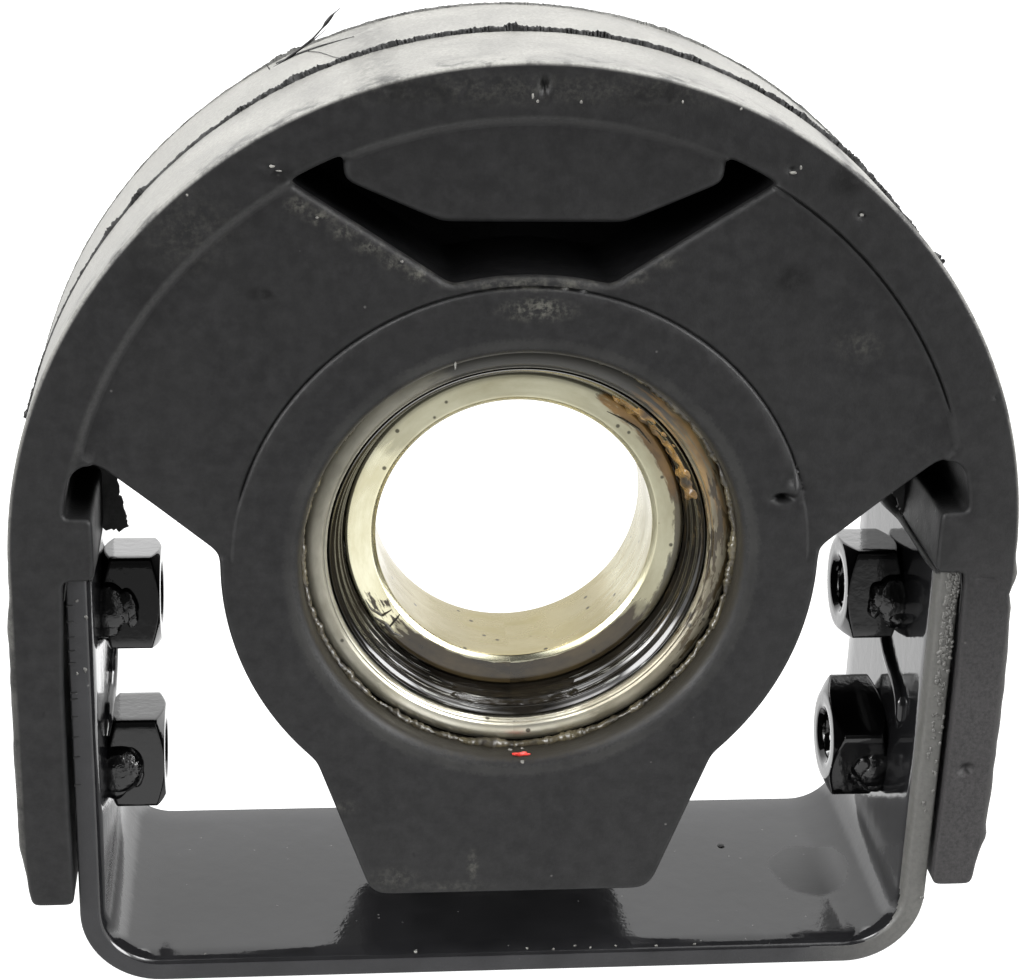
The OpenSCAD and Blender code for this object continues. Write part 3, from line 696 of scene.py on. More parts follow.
def wall(c, loop, normals, recess, size):
    # edge section carried along a loop: quarter round at the front, straight wall, quarter round at the back
    a = np.linspace(0, np.pi / 2, 6)[:, None]
    inset, drop = 1 - np.sin(a), (1 - np.cos(a)) * size
    between = np.concatenate([np.linspace(-1, -0.08, 8), [-0.03, 0, 0.03], np.linspace(0.08, 1, 8)])[1:-1, None]
    half = c["halfDepth"] - recess
    depths = np.vstack([drop - half, between * (half - size), half - drop[::-1]])
    insets = np.vstack([inset, 0 * between, inset[::-1]]) * size
    return columns(loop[:, 0] - insets * normals[:, 0], depths, loop[:, 1] - insets * normals[:, 1])


def insideLoops(points, loops):
    # even and odd crossings of a level line with all the loops
    count = np.zeros(len(points), int)
    for a in loops:
        b = np.roll(a, -1, 0)
        spans = (a[None, :, 1] > points[:, 1, None]) != (b[None, :, 1] > points[:, 1, None])
        with np.errstate(divide="ignore", invalid="ignore"):
            x = a[None, :, 0] + (points[:, 1, None] - a[None, :, 1]) / (b - a)[None, :, 1] * (b - a)[None, :, 0]
        count += (spans & (x > points[:, 0, None])).sum(1)
    return count % 2 == 1


def clearOf(points, others, distance):
    # points farther than a distance from all the others
    keep = np.ones(len(points), bool)
    for start in range(0, len(others), 400):
        d = points[:, None] - others[None, start:start + 400]
        keep &= ((d ** 2).sum(2) > distance ** 2).all(1)
    return points[keep]


def staggered(low, high, stepX, stepZ):
    # grid of points with every other row shifted by half a step
    x, z = np.meshgrid(np.arange(low[0], high[0], stepX), np.arange(low[1], high[1], stepZ))
    x[::2] += stepX / 2
    return columns(x.ravel(), z.ravel())


def fillLoops(loops, inner):
    # triangles of the area between closed loops, through the inner points too
    first = np.cumsum([0] + [len(loop) for loop in loops])
    edges = np.vstack([n + columns(np.arange(len(loop)), (np.arange(len(loop)) + 1) % len(loop))
                       for loop, n in zip(loops, first)])
    points = [Vector(p) for p in np.vstack(loops + [inner]).tolist()]
    flat, _, tris = delaunay_2d_cdt(points, edges.tolist(), [], 0, 1e-7)[:3]
    flat, tris = np.array([tuple(p) for p in flat]), np.array(tris)
    return flat, tris[insideLoops(flat[tris].mean(1), loops)]


def facePoints(c, loops):
    # points inside the face: close rows on both sides of each step and round each dent, a staggered grid between
    a, b = np.radians(np.arange(0, 360, 0.9)), fullTurn(16)
    step = c["stepWidth"]
    radii = [c["rimInner"] + k for k in (-step - 0.12, -step, -0.9, -0.45, 0, 0.15)]
    radii += [c["boss"] + k for k in (-0.2, 0.1, 0.4, 0.7, 1.1)]
    rings = np.vstack([r * columns(np.cos(a), np.sin(a)) for r in radii])
    edges = np.vstack(loops)
    dents = np.vstack([columns(x + k * w * np.cos(b), z + k * h * np.sin(b))
                       for x, z, w, h, _ in c["marks"] for k in (0.05, 0.35, 0.7, 1.05, 1.5, 2.1)])
    dents = clearOf(dents[insideLoops(dents, loops)], edges, 0.4)
    rings = clearOf(clearOf(rings[insideLoops(rings, loops)], edges, 0.5), dents, 0.35)
    grid = staggered((-98, -74), (98, 98), 2.3, 2.0)
    grid = clearOf(clearOf(grid[insideLoops(grid, loops)], edges, 1.2), dents, 0.6)
    return np.vstack([rings, dents, clearOf(grid, rings, 0.8)])


def makeCushion(c):
    outer = legSpread(c, softLoop(outerLoop(c), c["cornerSoft"], 1.5, 6))
    slot = softLoop(slotLoop(c), c["cornerSoft"], 1.5, 6)
    # the slot's edge has a broader round under the bump stop
    under = ramp(slot[:, 1], *c["stopZ"]) * ramp(np.abs(slot[:, 0]), *c["stopX"])
    slotRound = c["slotRound"] + (c["stopRound"] - c["slotRound"]) * under
    grids, caps = [], []
    for loop, size in ((outer, np.full(len(outer), c["edgeRound"])), (slot, slotRound)):
        normals = outward(loop)
        side = loop - size[:, None] * normals
        grids.append(wall(c, loop, normals, faceRecess(c, side[:, 0], side[:, 1]), size))
        caps.append(side)
    a = fullTurn(c["boreSegments"])
    mouth = c["lip"] + c["mouthRound"]
    caps.append(mouth * columns(np.cos(a), np.sin(a)))
    flat, tris = fillLoops(caps, facePoints(c, caps))
    half = c["halfDepth"] - faceRecess(c, flat[:, 0], flat[:, 1])
    front = columns(flat[:, 0], -half, flat[:, 1])
    back = front * [1, -1, 1]
    free = np.arange(len(flat)) >= sum(len(loop) for loop in caps)
    for x, z, w, h, deep in c["marks"]:
        front[:, 1] += free * deep * np.exp(-((flat[:, 0] - x) / w) ** 2 - ((flat[:, 1] - z) / h) ** 2)
    # bore line from the front mouth round the lip, along the lip, round the bearing's groove and back out
    q = np.linspace(0, np.pi / 2, 9)
    r = np.append(mouth - c["mouthRound"] * np.sin(q), [c["lip"], c["lip"], c["groove"], c["groove"]])
    y = np.append(-c["halfDepth"] + c["mouthRound"] * (1 - np.cos(q)),
                  [-c["lipEnd"], -c["grooveHalf"], -c["grooveHalf"], 0])
    r, y = np.append(r, r[-2::-1]), np.append(y, -y[-2::-1])
    grids.append(swung(r[:, None], y[:, None], a))
    parts = [(grid.reshape(-1, 3), [gridFaces(*grid.shape[:2])]) for grid in grids]
    mesh = makeMesh("cushion_body", *joinParts(parts + [(front, [tris]), (back, [tris[:, ::-1]])]), 0.004)
    mesh = cutHoles(mesh, c["holeSpan"], boltDepths, boltLevels, c["holeRadius"])
    # the slot's walls get a darker, duller rubber: painted shade deep in the slot
    middle = np.empty(3 * len(mesh.polygons))
    mesh.polygons.foreach_get("center", middle)
    x, y, z = middle.reshape(-1, 3).T / mm
    inSlot = (np.abs(y) < c["halfDepth"] - c["slotFrom"]) & (z > c["slotLow"])
    inSlot &= np.hypot(x, z) < c["rimInner"] + c["slotOver"]
    mesh.polygons.foreach_set("material_index", inSlot.astype(np.int32))
    piece = addPiece(mesh, [cushionRubber, slotShadeRubber], "cushion_rubber", 50, replaces=["rubber_cushion"])
    return piece, outer, slot


def makeSkin(name, loop, half, grow, material, wrinkle, seed):
    # thin sheet across a loop at the parting line: the loop grown outwards, its inside filled with points,
    # both faces waved by the same sum of sines, and a wall between them
    edge = loop + grow * outward(loop)
    grid = staggered(edge.min(0), edge.max(0), 1.6, 1.4)
    flat, tris = fillLoops([edge], clearOf(grid[insideLoops(grid, [edge])], edge, 0.8))
    draw = np.random.default_rng(seed)
    waves, phase = draw.normal(size=(6, 2)) * 0.45, draw.uniform(0, 6.28, 6)
    wave = wrinkle * np.sin(flat @ waves.T + phase).sum(1) / 3
    sheets = [columns(flat[:, 0], wave + k, flat[:, 1]) for k in (-half, half)]
    k, n = len(flat), np.arange(len(edge))
    after = (n + 1) % len(edge)
    side = columns(n, n + k, after + k, after)
    faceSets = [tris, tris[:, ::-1] + k, side]
    return addShape(name, np.vstack(sheets), faceSets, 0.001, material, "cushion_rubber", 50)


notchFlash = {
    "half": 0.4, "wrinkle": 0.5, "rag": 0.22, "step": 0.6, "seed": 61,
    # torn edges, in x and z, from the arm's underside down to the shoulder
    "left": [(-79.0, 21.4), (-78.7, 16.5), (-79.2, 14.0), (-78.0, 9.5), (-77.9, 5.5), (-76.9, 1.5), (-76.2, -2.6),
             (-77.4, -3.2), (-80.9, -3.4)],
    "right": [(75.4, 18.2), (77.0, 12.5), (78.2, 7.5), (78.6, 3.0), (80.2, 0.2), (81.2, -2.0)],
    # the rest runs inside the rubber: shoulder, rim and arm
    "leftBack": [(-81.6, -2.4), (-81.6, 9.4), (-88.0, 9.4), (-88.0, 26.0), (-84.0, 27.5), (-76.0, 19.5)],
    "rightBack": [(81.6, -2.4), (81.6, 9.4), (88.0, 9.4), (88.0, 26.0), (84.0, 27.5), (76.6, 20.0)],
}


def makeNotchFlash(f):
    # torn edge: even points along straight runs, thrown aside at random
    for i, side in enumerate(("left", "right")):
        line = evenLine(np.array(f[side], float), f["step"])[0]
        draw = np.random.default_rng(f["seed"] + i)
        loop = np.vstack([line + f["rag"] * draw.normal(size=line.shape), np.array(f[side + "Back"])])
        loop = loop if side == "right" else loop[::-1]
        makeSkin("notch_flash_" + side, loop, f["half"], 0.0, flashRubber, f["wrinkle"], f["seed"] + 5 + i)


cushionPiece, cushionLine, slotLine = makeCushion(cushion)
makeSkin("slot_skin", slotLine[::-1], cushion["skinHalf"], cushion["skinGrow"], slotShadeRubber, cushion["skinWrinkle"],
         cushion["skinSeed"])
makeNotchFlash(notchFlash)
print("cushion", len(cushionPiece.data.polygons), "faces")


# ragged mould flash along the parting line, and a fine one by the back edge
flash = {
    "depth": 0.0, "halfWidth": 0.5, "low": 0.12, "arch": 0.75, "rag": 0.28, "step": 0.3, "seed": 11,
    # ramps of the part on the arch: by radius, by height, and along x from its left end
    "archRadius": (94, 2), "archZ": (0, 25), "archX": (-78, 45),
    # places with more: x, z, height, spread
    "tufts": ((-2, 97, 0.8, 1.4), (-9, 96.5, 0.25, 6), (-23, 94, 0.3, 2), (-41, 88, 0.35, 2.5), (-72, 64.6, 0.5, 1.5),
              (-77, 59, 0.6, 1.2), (14, 96, 0.3, 2), (31, 92, 0.3, 3), (60, 76, 0.35, 3), (81.8, 52, 1.6, 1.3),
              (84, 48.5, 0.9, 1.0), (-94, 22, 0.6, 2), (-96, 12, 0.5, 1.5)),
}
backFlash = dict(flash, depth=25.9, halfWidth=0.25, low=0.05, arch=0.3, rag=0.12, seed=14,
                 tufts=((-44, 86.5, 0.3, 3), (30, 92, 0.2, 4)))


def makeFlash(name, f, loop, material):
    # thin fin carried along the outline at the parting line, its height a ragged function of the way along
    line, t, length = evenLine(np.vstack([loop, loop[:1]]), f["step"])
    normal = outward(line)
    draw = np.random.default_rng(f["seed"])
    rough = 1.2 * ripple(t, f["seed"], length, 420) + 0.25 * draw.normal(size=len(t))
    arch = ramp(np.hypot(line[:, 0], line[:, 1]), *f["archRadius"]) * ramp(line[:, 1], *f["archZ"])
    arch = arch * (0.4 + 0.6 * ramp(line[:, 0], *f["archX"]))
    height = f["low"] + f["arch"] * arch + f["rag"] * (0.4 + 0.6 * arch) * np.clip(rough, -0.8, 3)
    height = np.maximum(height, 0.05)
    for x, z, most, spread in f["tufts"]:
        near = np.exp(-((line[:, 0] - x) ** 2 + (line[:, 1] - z) ** 2) / (2 * spread ** 2))
        height += most * near * (0.35 + 0.65 * np.clip(0.5 + rough, 0, 1.6))
    w = f["halfWidth"]
    wander = f["depth"] + 0.5 * w * ripple(t, f["seed"] + 1, length, 60)
    tipShift = 0.3 * draw.normal(size=len(t)) * np.clip(height, 0, 1)
    root, rows = -0.3 + 0 * t, []
    for out, aside in ((root, -w), (0.6 * height, -0.6 * w), (height, -0.14), (height, 0.14), (0.6 * height, 0.6 * w),
                       (root, w)):
        y = wander + aside + np.where(out > 0, tipShift, 0)
        rows.append(columns(line[:, 0] + out * normal[:, 0], y, line[:, 1] + out * normal[:, 1]))
    faces = gridFaces(len(rows), len(t), closeRows=True)
    return addShape(name, np.stack(rows), [faces], 0.001, material, "cushion_rubber", 60)


def makeTubes(name, t, material, slot, body="support"):
    # circle of changing radius carried along each path, its points eased between the given ones
    parts, sides = [], t["sides"]
    a = fullTurn(sides)
    soft = np.exp(-np.linspace(-2, 2, 9) ** 2)
    soft /= soft.sum()
    for path in t["paths"]:
        p = np.array(path, float)
        u = np.linspace(0, len(p) - 1, t["steps"])
        line = columns(*[np.interp(u, np.arange(len(p)), p[:, k]) for k in range(4)])
        padded = np.vstack([np.repeat(line[:1], 4, 0), line, np.repeat(line[-1:], 4, 0)])
        line = columns(*[np.convolve(padded[:, k], soft, "valid") for k in range(4)])
        along = np.gradient(line[:, :3], axis=0)
        along /= np.linalg.norm(along, axis=1)[:, None]
        side = np.cross(along, [0.3, 1.0, 0.1])
        side /= np.linalg.norm(side, axis=1)[:, None]
        up = np.cross(side, along)
        ring = np.cos(a)[None, :, None] * side[:, None] + np.sin(a)[None, :, None] * up[:, None]
        verts = (line[:, None, :3] + line[:, None, 3:] * ring).reshape(-1, 3)
        fan = columns(0, np.arange(1, sides - 1), np.arange(2, sides))
        parts.append((verts, [gridFaces(len(line), sides), fan, fan + len(verts) - sides]))
    return addShape(name, *joinParts(parts), 0.0005, material, slot, 70, body=body)


# whiskers of flash by the back edge: points in x, y, z and radius at each
whiskers = {"sides": 7, "steps": 60, "paths": (
    [(-50.2, 22, 82.6, 0.2), (-46.5, 22, 84.9, 0.22), (-41.7, 22.2, 88.4, 0.26), (-39.1, 22.4, 90.5, 0.2),
     (-37.2, 22.4, 92.7, 0.16), (-36.6, 22.4, 93.5, 0.42), (-35.6, 22.4, 94.8, 0.34), (-35.0, 22.4, 95.5, 0.12),
     (-33.2, 22.4, 97.0, 0.04)],
    [(-47.2, 22.8, 84.4, 0.12), (-43.0, 23.2, 87.2, 0.14), (-39.0, 23.4, 90.0, 0.12), (-36.0, 23.4, 92.6, 0.04)],
    [(-48.3, 21.6, 85.6, 0.05), (-47.6, 21.7, 84.6, 0.14), (-46.9, 21.8, 83.8, 0.16), (-46.2, 21.9, 83.6, 0.05)],
    [(-46.4, 23.6, 85.2, 0.2), (-41.7, 21.8, 87.7, 0.24), (-37.0, 20.0, 89.8, 0.2), (-31.2, 18.0, 91.9, 0.06)],
    [(-40.4, 21.2, 88.3, 0.07), (-38.0, 15.0, 89.4, 0.07), (-35.4, 6.0, 90.4, 0.06), (-33.6, 1.0, 91.1, 0.03)])}
# dark strings of rubber along the strap's tops and across their front ends, painted shade of the gaps under the
# shoulders, with a torn lump of squeezed-out rubber on the right
gapShadeAndSqueeze = {"sides": 9, "steps": 90, "paths": (
    [(81.8, -25.6, -3.0, 0.4), (81.5, -20.0, -2.9, 0.75), (81.4, -8.0, -2.8, 0.7), (81.3, 2.0, -2.7, 0.9),
     (80.6, 8.0, -1.6, 2.0), (80.4, 13.0, -0.8, 2.6), (80.6, 18.0, -1.8, 1.6), (80.8, 22.0, -2.2, 2.2),
     (81.6, 30.0, -2.8, 0.4)],
    [(-81.8, -25.6, -3.0, 0.3), (-81.6, -15.0, -2.9, 0.4), (-81.6, 5.0, -2.8, 0.4), (-81.6, 30.0, -2.8, 0.3)],
    [(82.4, -25.7, -2.7, 0.25), (84.2, -25.8, -2.6, 0.3), (86.4, -25.7, -2.7, 0.3), (87.0, -25.8, -6.0, 0.25),
     (87.1, -25.7, -12.0, 0.12)],
    [(-82.4, -25.7, -2.7, 0.2), (-84.2, -25.8, -2.6, 0.25), (-86.4, -25.7, -2.7, 0.25), (-87.0, -25.8, -7.0, 0.15)])}
makeFlash("parting_flash", flash, cushionLine, flashRubber)
makeFlash("back_edge_flash", backFlash, cushionLine, dustyRubber)
makeTubes("flash_whiskers", whiskers, flashRubber, "cushion_rubber")
makeTubes("gap_shade_and_squeezed_rubber", gapShadeAndSqueeze, flashRubber, "cushion_rubber")
print("parting flash made")


# steel strap
strap = {"outX": 86.7, "thick": 5.0, "bottom": -92.6, "top": -2.8, "bend": 16.0, "y": 4.55, "depth": 60.0,
         "edgeRound": 0.5, "frontRoll": 1.6, "rollDepth": 4.2, "holeRadius": 6.75, "holeSpan": (78, 92),
         # columns of its section where the finishes change, and where the worn roll of the right leg starts
         "backEnd": 11, "frontStart": 20, "rollStart": 28, "rollMost": 9, "wornX": 60, "wornZ": (-91, 16)}


def makeStrap(s):
    # rectangle with round edges carried along the U: down the left side, across the floor and up the right
    mid, r = s["thick"] / 2, s["bend"] - s["thick"] / 2
    x, low = s["outX"] - mid, s["bottom"] + mid
    half = np.vstack([columns(-x, np.linspace(s["top"], low + r + 1, 24)),
                      arc((-x + r, low + r), r, 180, 270, 18),
                      columns(np.linspace(-x + r + 1, 0, 12), low)])
    path = np.vstack([half, (half[:-1] * [-1, 1])[::-1]])
    tangent = np.gradient(path, axis=0)
    tangent /= np.hypot(tangent[:, 0], tangent[:, 1])[:, None]
    # back edge, outer face, front edge, and the rolled corner to the inner face
    e, f, g = s["edgeRound"], s["frontRoll"], s["rollDepth"]
    w, d = mid, s["depth"] / 2
    ring = np.vstack([arc((w - e, d - e), e, 0, 90, 5), [[0, d]], arc((-w + e, d - e), e, 90, 180, 5),
                      columns(-w, np.linspace(d - e, -d + e, 11)[1:-1]),
                      arc((-w + e, -d + e), e, 180, 270, 5), [[0, -d]],
                      arc((0, 0), 1, 270, 360, 16) * [f, g] + [w - f, -d + g],
                      columns(w, np.linspace(-d + g, d - e, 11)[1:-1])])
    across, along = ring[:, 0], ring[:, 1]
    verts = columns(path[:, :1] - across * tangent[:, 1:], s["y"] + along, path[:, 1:] + across * tangent[:, :1])
    n, k = verts.shape[:2]
    faces = gridFaces(n, k)
    mesh = makeMesh("strap_body", verts, [faces, np.stack([np.arange(k), np.arange((n - 1) * k, n * k)])])
    # the sheared front and back edges have their own finish, on the right leg with the roll beside the front edge
    row, column = np.divmod(np.arange(len(faces)), k)
    start, width = s["wornZ"]
    share = np.clip((path[row, 1] - start) / width, 0, 1) * (path[row, 0] > s["wornX"])
    worn = s["rollStart"] + s["rollMost"] * share
    edge = (column < s["backEnd"]) | (column >= s["frontStart"]) & (column < worn)
    mesh.polygons.foreach_set("material_index", np.append(edge, [True, True]).astype(np.int32))
    finishes = [strapPaint, strapEdgePaint]
    for material in finishes:
        mesh.materials.append(material)
    mesh = cutHoles(mesh, s["holeSpan"], boltDepths, boltLevels, s["holeRadius"])
    # clearing the materials resets each face's finish, so it is set again
    finishOf = np.empty(len(mesh.polygons), np.int32)
    mesh.polygons.foreach_get("material_index", finishOf)
    mesh.materials.clear()
    piece = addPiece(mesh, finishes, "strap_paint", 35, replaces=["strap_bracket"])
    mesh.polygons.foreach_set("material_index", finishOf)
    return piece


# runs of paint down the strap's inner faces: x, y, z and radius
paintRuns = {"sides": 12, "steps": 80, "paths": (
    [(81.6, 16.0, -27.0, 1.0), (81.5, 9.0, -30.0, 1.2), (81.5, 4.5, -32.4, 1.25), (81.5, 1.1, -34.3, 1.25),
     (81.5, -3.0, -35.7, 1.2), (81.5, -8.6, -37.1, 1.3), (81.5, -11.6, -38.7, 1.4), (81.5, -12.0, -42.0, 1.2),
     (81.7, -10.5, -45.0, 0.6)],
    [(-81.6, 22.0, -30.0, 0.9), (-81.5, 18.0, -36.0, 1.1), (-81.5, 15.1, -38.7, 1.2), (-81.5, 10.6, -41.1, 1.25),
     (-81.5, 6.5, -42.5, 1.25), (-81.5, 0.2, -42.6, 1.3), (-81.5, -5.0, -43.4, 1.3), (-81.7, -7.5, -46.0, 0.7)])}
# ticks across the left front edge
ticks = {"sides": 6, "steps": 12, "paths": [
    [(-86.7, -25.35, level, 0.22), (-86.0, -25.5, level + 0.1, 0.2), (-85.2, -25.5, level + 0.2, 0.1)]
    for level in (-8.2, -11.6, -14.9, -17.8, -20.4, -26.7, -28.1, -32.0, -36.4, -40.8, -47.0)]}
# grains of spatter on the sheared front edge, most near the tops
grit = {"count": 260, "seed": 91, "y": -25.45, "left": (-86.3, -82.2), "right": (82.6, 86.5), "rightShare": 0.98,
        "top": -3.4, "reach": 26.0, "size": (0.18, 0.5)}


def makeGrit(g):
    # flat-bottomed lumps: a ring, a smaller ring and a tip each, sizes and places at random
    draw = np.random.default_rng(g["seed"])
    n, sides = g["count"], 8
    right = draw.uniform(size=n) < g["rightShare"]
    share = np.where(right, draw.uniform(0.35, 1, n), draw.uniform(0, 1, n))
    low, high = [np.where(right, g["right"][k], g["left"][k]) for k in (0, 1)]
    z = g["top"] - draw.exponential(g["reach"] * np.where(right, 0.55, 0.4), n).clip(0, 74)
    size = draw.uniform(*g["size"], n)
    a = fullTurn(sides)
    wide = size[:, None] * (1 + 0.25 * draw.normal(size=(n, sides))).clip(0.5, 1.5)
    x = low + share * (high - low)
    verts = np.stack([columns(x[:, None] + scale * wide * np.cos(a), (g["y"] - lift * size)[:, None],
                              z[:, None] + 1.3 * scale * wide * np.sin(a)) for scale, lift in ((1.0, -0.1),
                              (0.85, 0.35), (0.4, 0.6), (0.02, 0.66))], 1)
    parts = [(lump.reshape(-1, 3), [gridFaces(4, sides)]) for lump in verts]
    return addShape("edge_grit", *joinParts(parts), 0.0005, gritPaint, "strap_paint", 60)


strapPiece = makeStrap(strap)
makeTubes("paint_runs", paintRuns, strapPaint, "strap_paint")
makeGrit(grit)
makeTubes("edge_ticks", ticks, flashRubber, "strap_paint")
print("strap", len(strapPiece.data.polygons), "faces")


# weld nuts: side, height and turn of each, and their beads
nuts = {"half": 9.5, "height": 11.5, "hole": 5.1, "countersink": 1.0, "chamferSlope": 25.0, "cornerPower": 18,
        "footX": 81.7, "threadPitch": 1.75, "threadDeep": 0.45, "edgeSoft": 0.14, "columns": 160,
        "set": {"upper_left_nut": (-1, boltLevels[0], -10.0), "lower_left_nut": (-1, boltLevels[1], -8.0),
                "upper_right_nut": (1, boltLevels[0], -8.0), "lower_right_nut": (1, boltLevels[1], 20.0)}}
# lumps of each bead: out from the strap, up the nut, and their half sizes along the nut, out of its face and up
beads = {"rough": 0.13, "seed": 40, "lumps": ((1.8, -0.8, (4.6, 2.7, 5.2)), (4.6, -0.4, (2.6, 2.1, 3.8)),
                                              (1.2, -4.6, (3.0, 2.3, 2.6)), (5.8, -2.6, (1.6, 1.3, 2.6)))}


def makeNut(n, name):
    # height by angle: the least of a round-cornered square and the cones turned on both ends, then the end face,
    # the countersink and a threaded wall back to the foot
    side, level, turn = n["set"][name]
    a = fullTurn(n["columns"])[None]
    h, k, p, sink = n["height"], n["edgeSoft"], n["cornerPower"], n["countersink"]
    t = np.concatenate([[0, 0.05], np.linspace(0.15, 2.7, 18), np.linspace(3, h - 3, 8),
                        np.linspace(h - 2.7, h - 0.15, 18), [h - 0.05, h]])[:, None]
    square = n["half"] / (np.abs(np.cos(a)) ** p + np.abs(np.sin(a)) ** p) ** (1 / p)
    cone = n["half"] - 0.1 + np.minimum(h - t, t) / math.tan(math.radians(n["chamferSlope"]))
    r = -k * np.log(np.exp(-square / k) + np.exp(-cone / k))
    wide = n["hole"] + sink
    faceR, faceT = (8.6, 7.4, wide + 0.25, wide, n["hole"] + 0.1), (h, h, h, h - 0.15, h - sink)
    wallT = np.linspace(h - sink - 0.2, sink, 44)[:, None] + 0 * a
    tooth = np.abs(((wallT / n["threadPitch"] + a / (2 * np.pi)) % 1) * 2 - 1)
    wallR = n["hole"] + n["threadDeep"] * (1 - tooth)
    footR, footT = (wide, wide + 0.3), (0.1, 0.0)
    faceR, faceT, footR, footT = [np.array(q)[:, None] + 0 * a for q in (faceR, faceT, footR, footT)]
    r, t = np.vstack([r, faceR, wallR, footR]), np.vstack([t + 0 * a, faceT, wallT, footT])
    b = a + math.radians(turn)
    verts = columns(side * (n["footX"] - t), boltDepths[side] + r * np.cos(b), level + r * np.sin(b))
    faces = gridFaces(*r.shape, closeRows=True)
    return addShape(name + "_body", verts, [faces], 0.002, nutPaint, "nut_paint", 38, replaces=[name])


def blob(centre, radii, seed, rough, rows=26, cols=36, axes=np.eye(3)):
    # ball stretched by three radii and roughened by waves over its latitude and longitude
    u, v = np.linspace(0, np.pi, rows)[:, None], fullTurn(cols)[None]
    d = columns(np.sin(u) * np.cos(v), np.sin(u) * np.sin(v), np.cos(u))
    draw = np.random.default_rng(seed)
    waves = draw.normal(size=(9, 3)) * np.linspace(1.2, 4.2, 9)[:, None]
    phase = draw.uniform(0, 6.28, 9)
    lump = (np.sin(d @ waves.T + phase) / np.linspace(1, 2.6, 9)).sum(2) / 2.4
    q = d * np.array(radii) * (1 + rough * lump)[..., None]
    return (np.array(centre) + q @ axes).reshape(-1, 3), [gridFaces(rows, cols)]


def makeBeads(b, n):
    # a few lumps for each bead, one bead in front of each nut's foot and one behind
    lumps = []
    for i, (side, level, turn) in enumerate(n["set"].values()):
        a = math.radians(turn)
        up = np.array([0, -math.sin(a), math.cos(a)])
        for j, face in enumerate((-1, 1)):
            out = np.array([0, math.cos(a), math.sin(a)]) * face
            axes = np.stack([np.array([side, 0, 0]), out, up])
            middle = np.array([side * n["footX"], boltDepths[side], level]) + out * (n["half"] - 0.2)
            for k, (reach, shift, size) in enumerate(b["lumps"]):
                verts, faces = blob(middle - np.array([side * reach, 0, 0]) + up * shift, size,
                                    b["seed"] + 10 * i + 4 * j + k, b["rough"], axes=axes)
                verts[:, 0] = side * np.minimum(np.abs(verts[:, 0]), n["footX"] + 0.4)
                lumps.append((verts, faces))
    return addShape("weld_beads", *joinParts(lumps), 0.001, beadPaint, "nut_paint", 80, replaces=["nut_welds"])


for nutName in nuts["set"]:
    makeNut(nuts, nutName)
makeBeads(beads, nuts)
print("nuts and beads made")


# bearing: rings, seal cases and lips turned about the shaft
bearing = {"bore": 27.5, "land": 33.6, "halfWidth": 11.0, "chamfer": 1.0, "outer": 45.0, "outerLand": 39.7,
           "caseOut": 41.2, "caseRoll": 41.95, "caseOpen": 37.2, "caseSheet": 1.6, "reach": 20.2, "rollDrop": 1.9,
           "seat": 2.5, "lipTip": 33.8, "lipSheet": 1.3, "lipOverlap": 1.6, "segments": 240,
           # ridges round the seal lip: share of the way from its tip to the case, height, half width
           "ridges": ((0.24, 0.34, 0.08), (0.5, 0.42, 0.09), (0.8, 0.5, 0.1)),
           "pitch": 36.25, "ball": 11.0, "raceGap": 0.08, "conformity": 0.53}


def lipLine(b, inset):
    # ends of the seal lip's cone in radius and depth, and the unit vector out of it
    low = np.array([b["lipTip"] + inset, b["halfWidth"] - b["lipOverlap"] + b["lipSheet"]])
    high = np.array([b["caseOpen"] - 0.5, b["reach"] - b["rollDrop"]])
    along = (high - low) / np.hypot(*(high - low))
    return low, high, np.array([-along[1], along[0]])


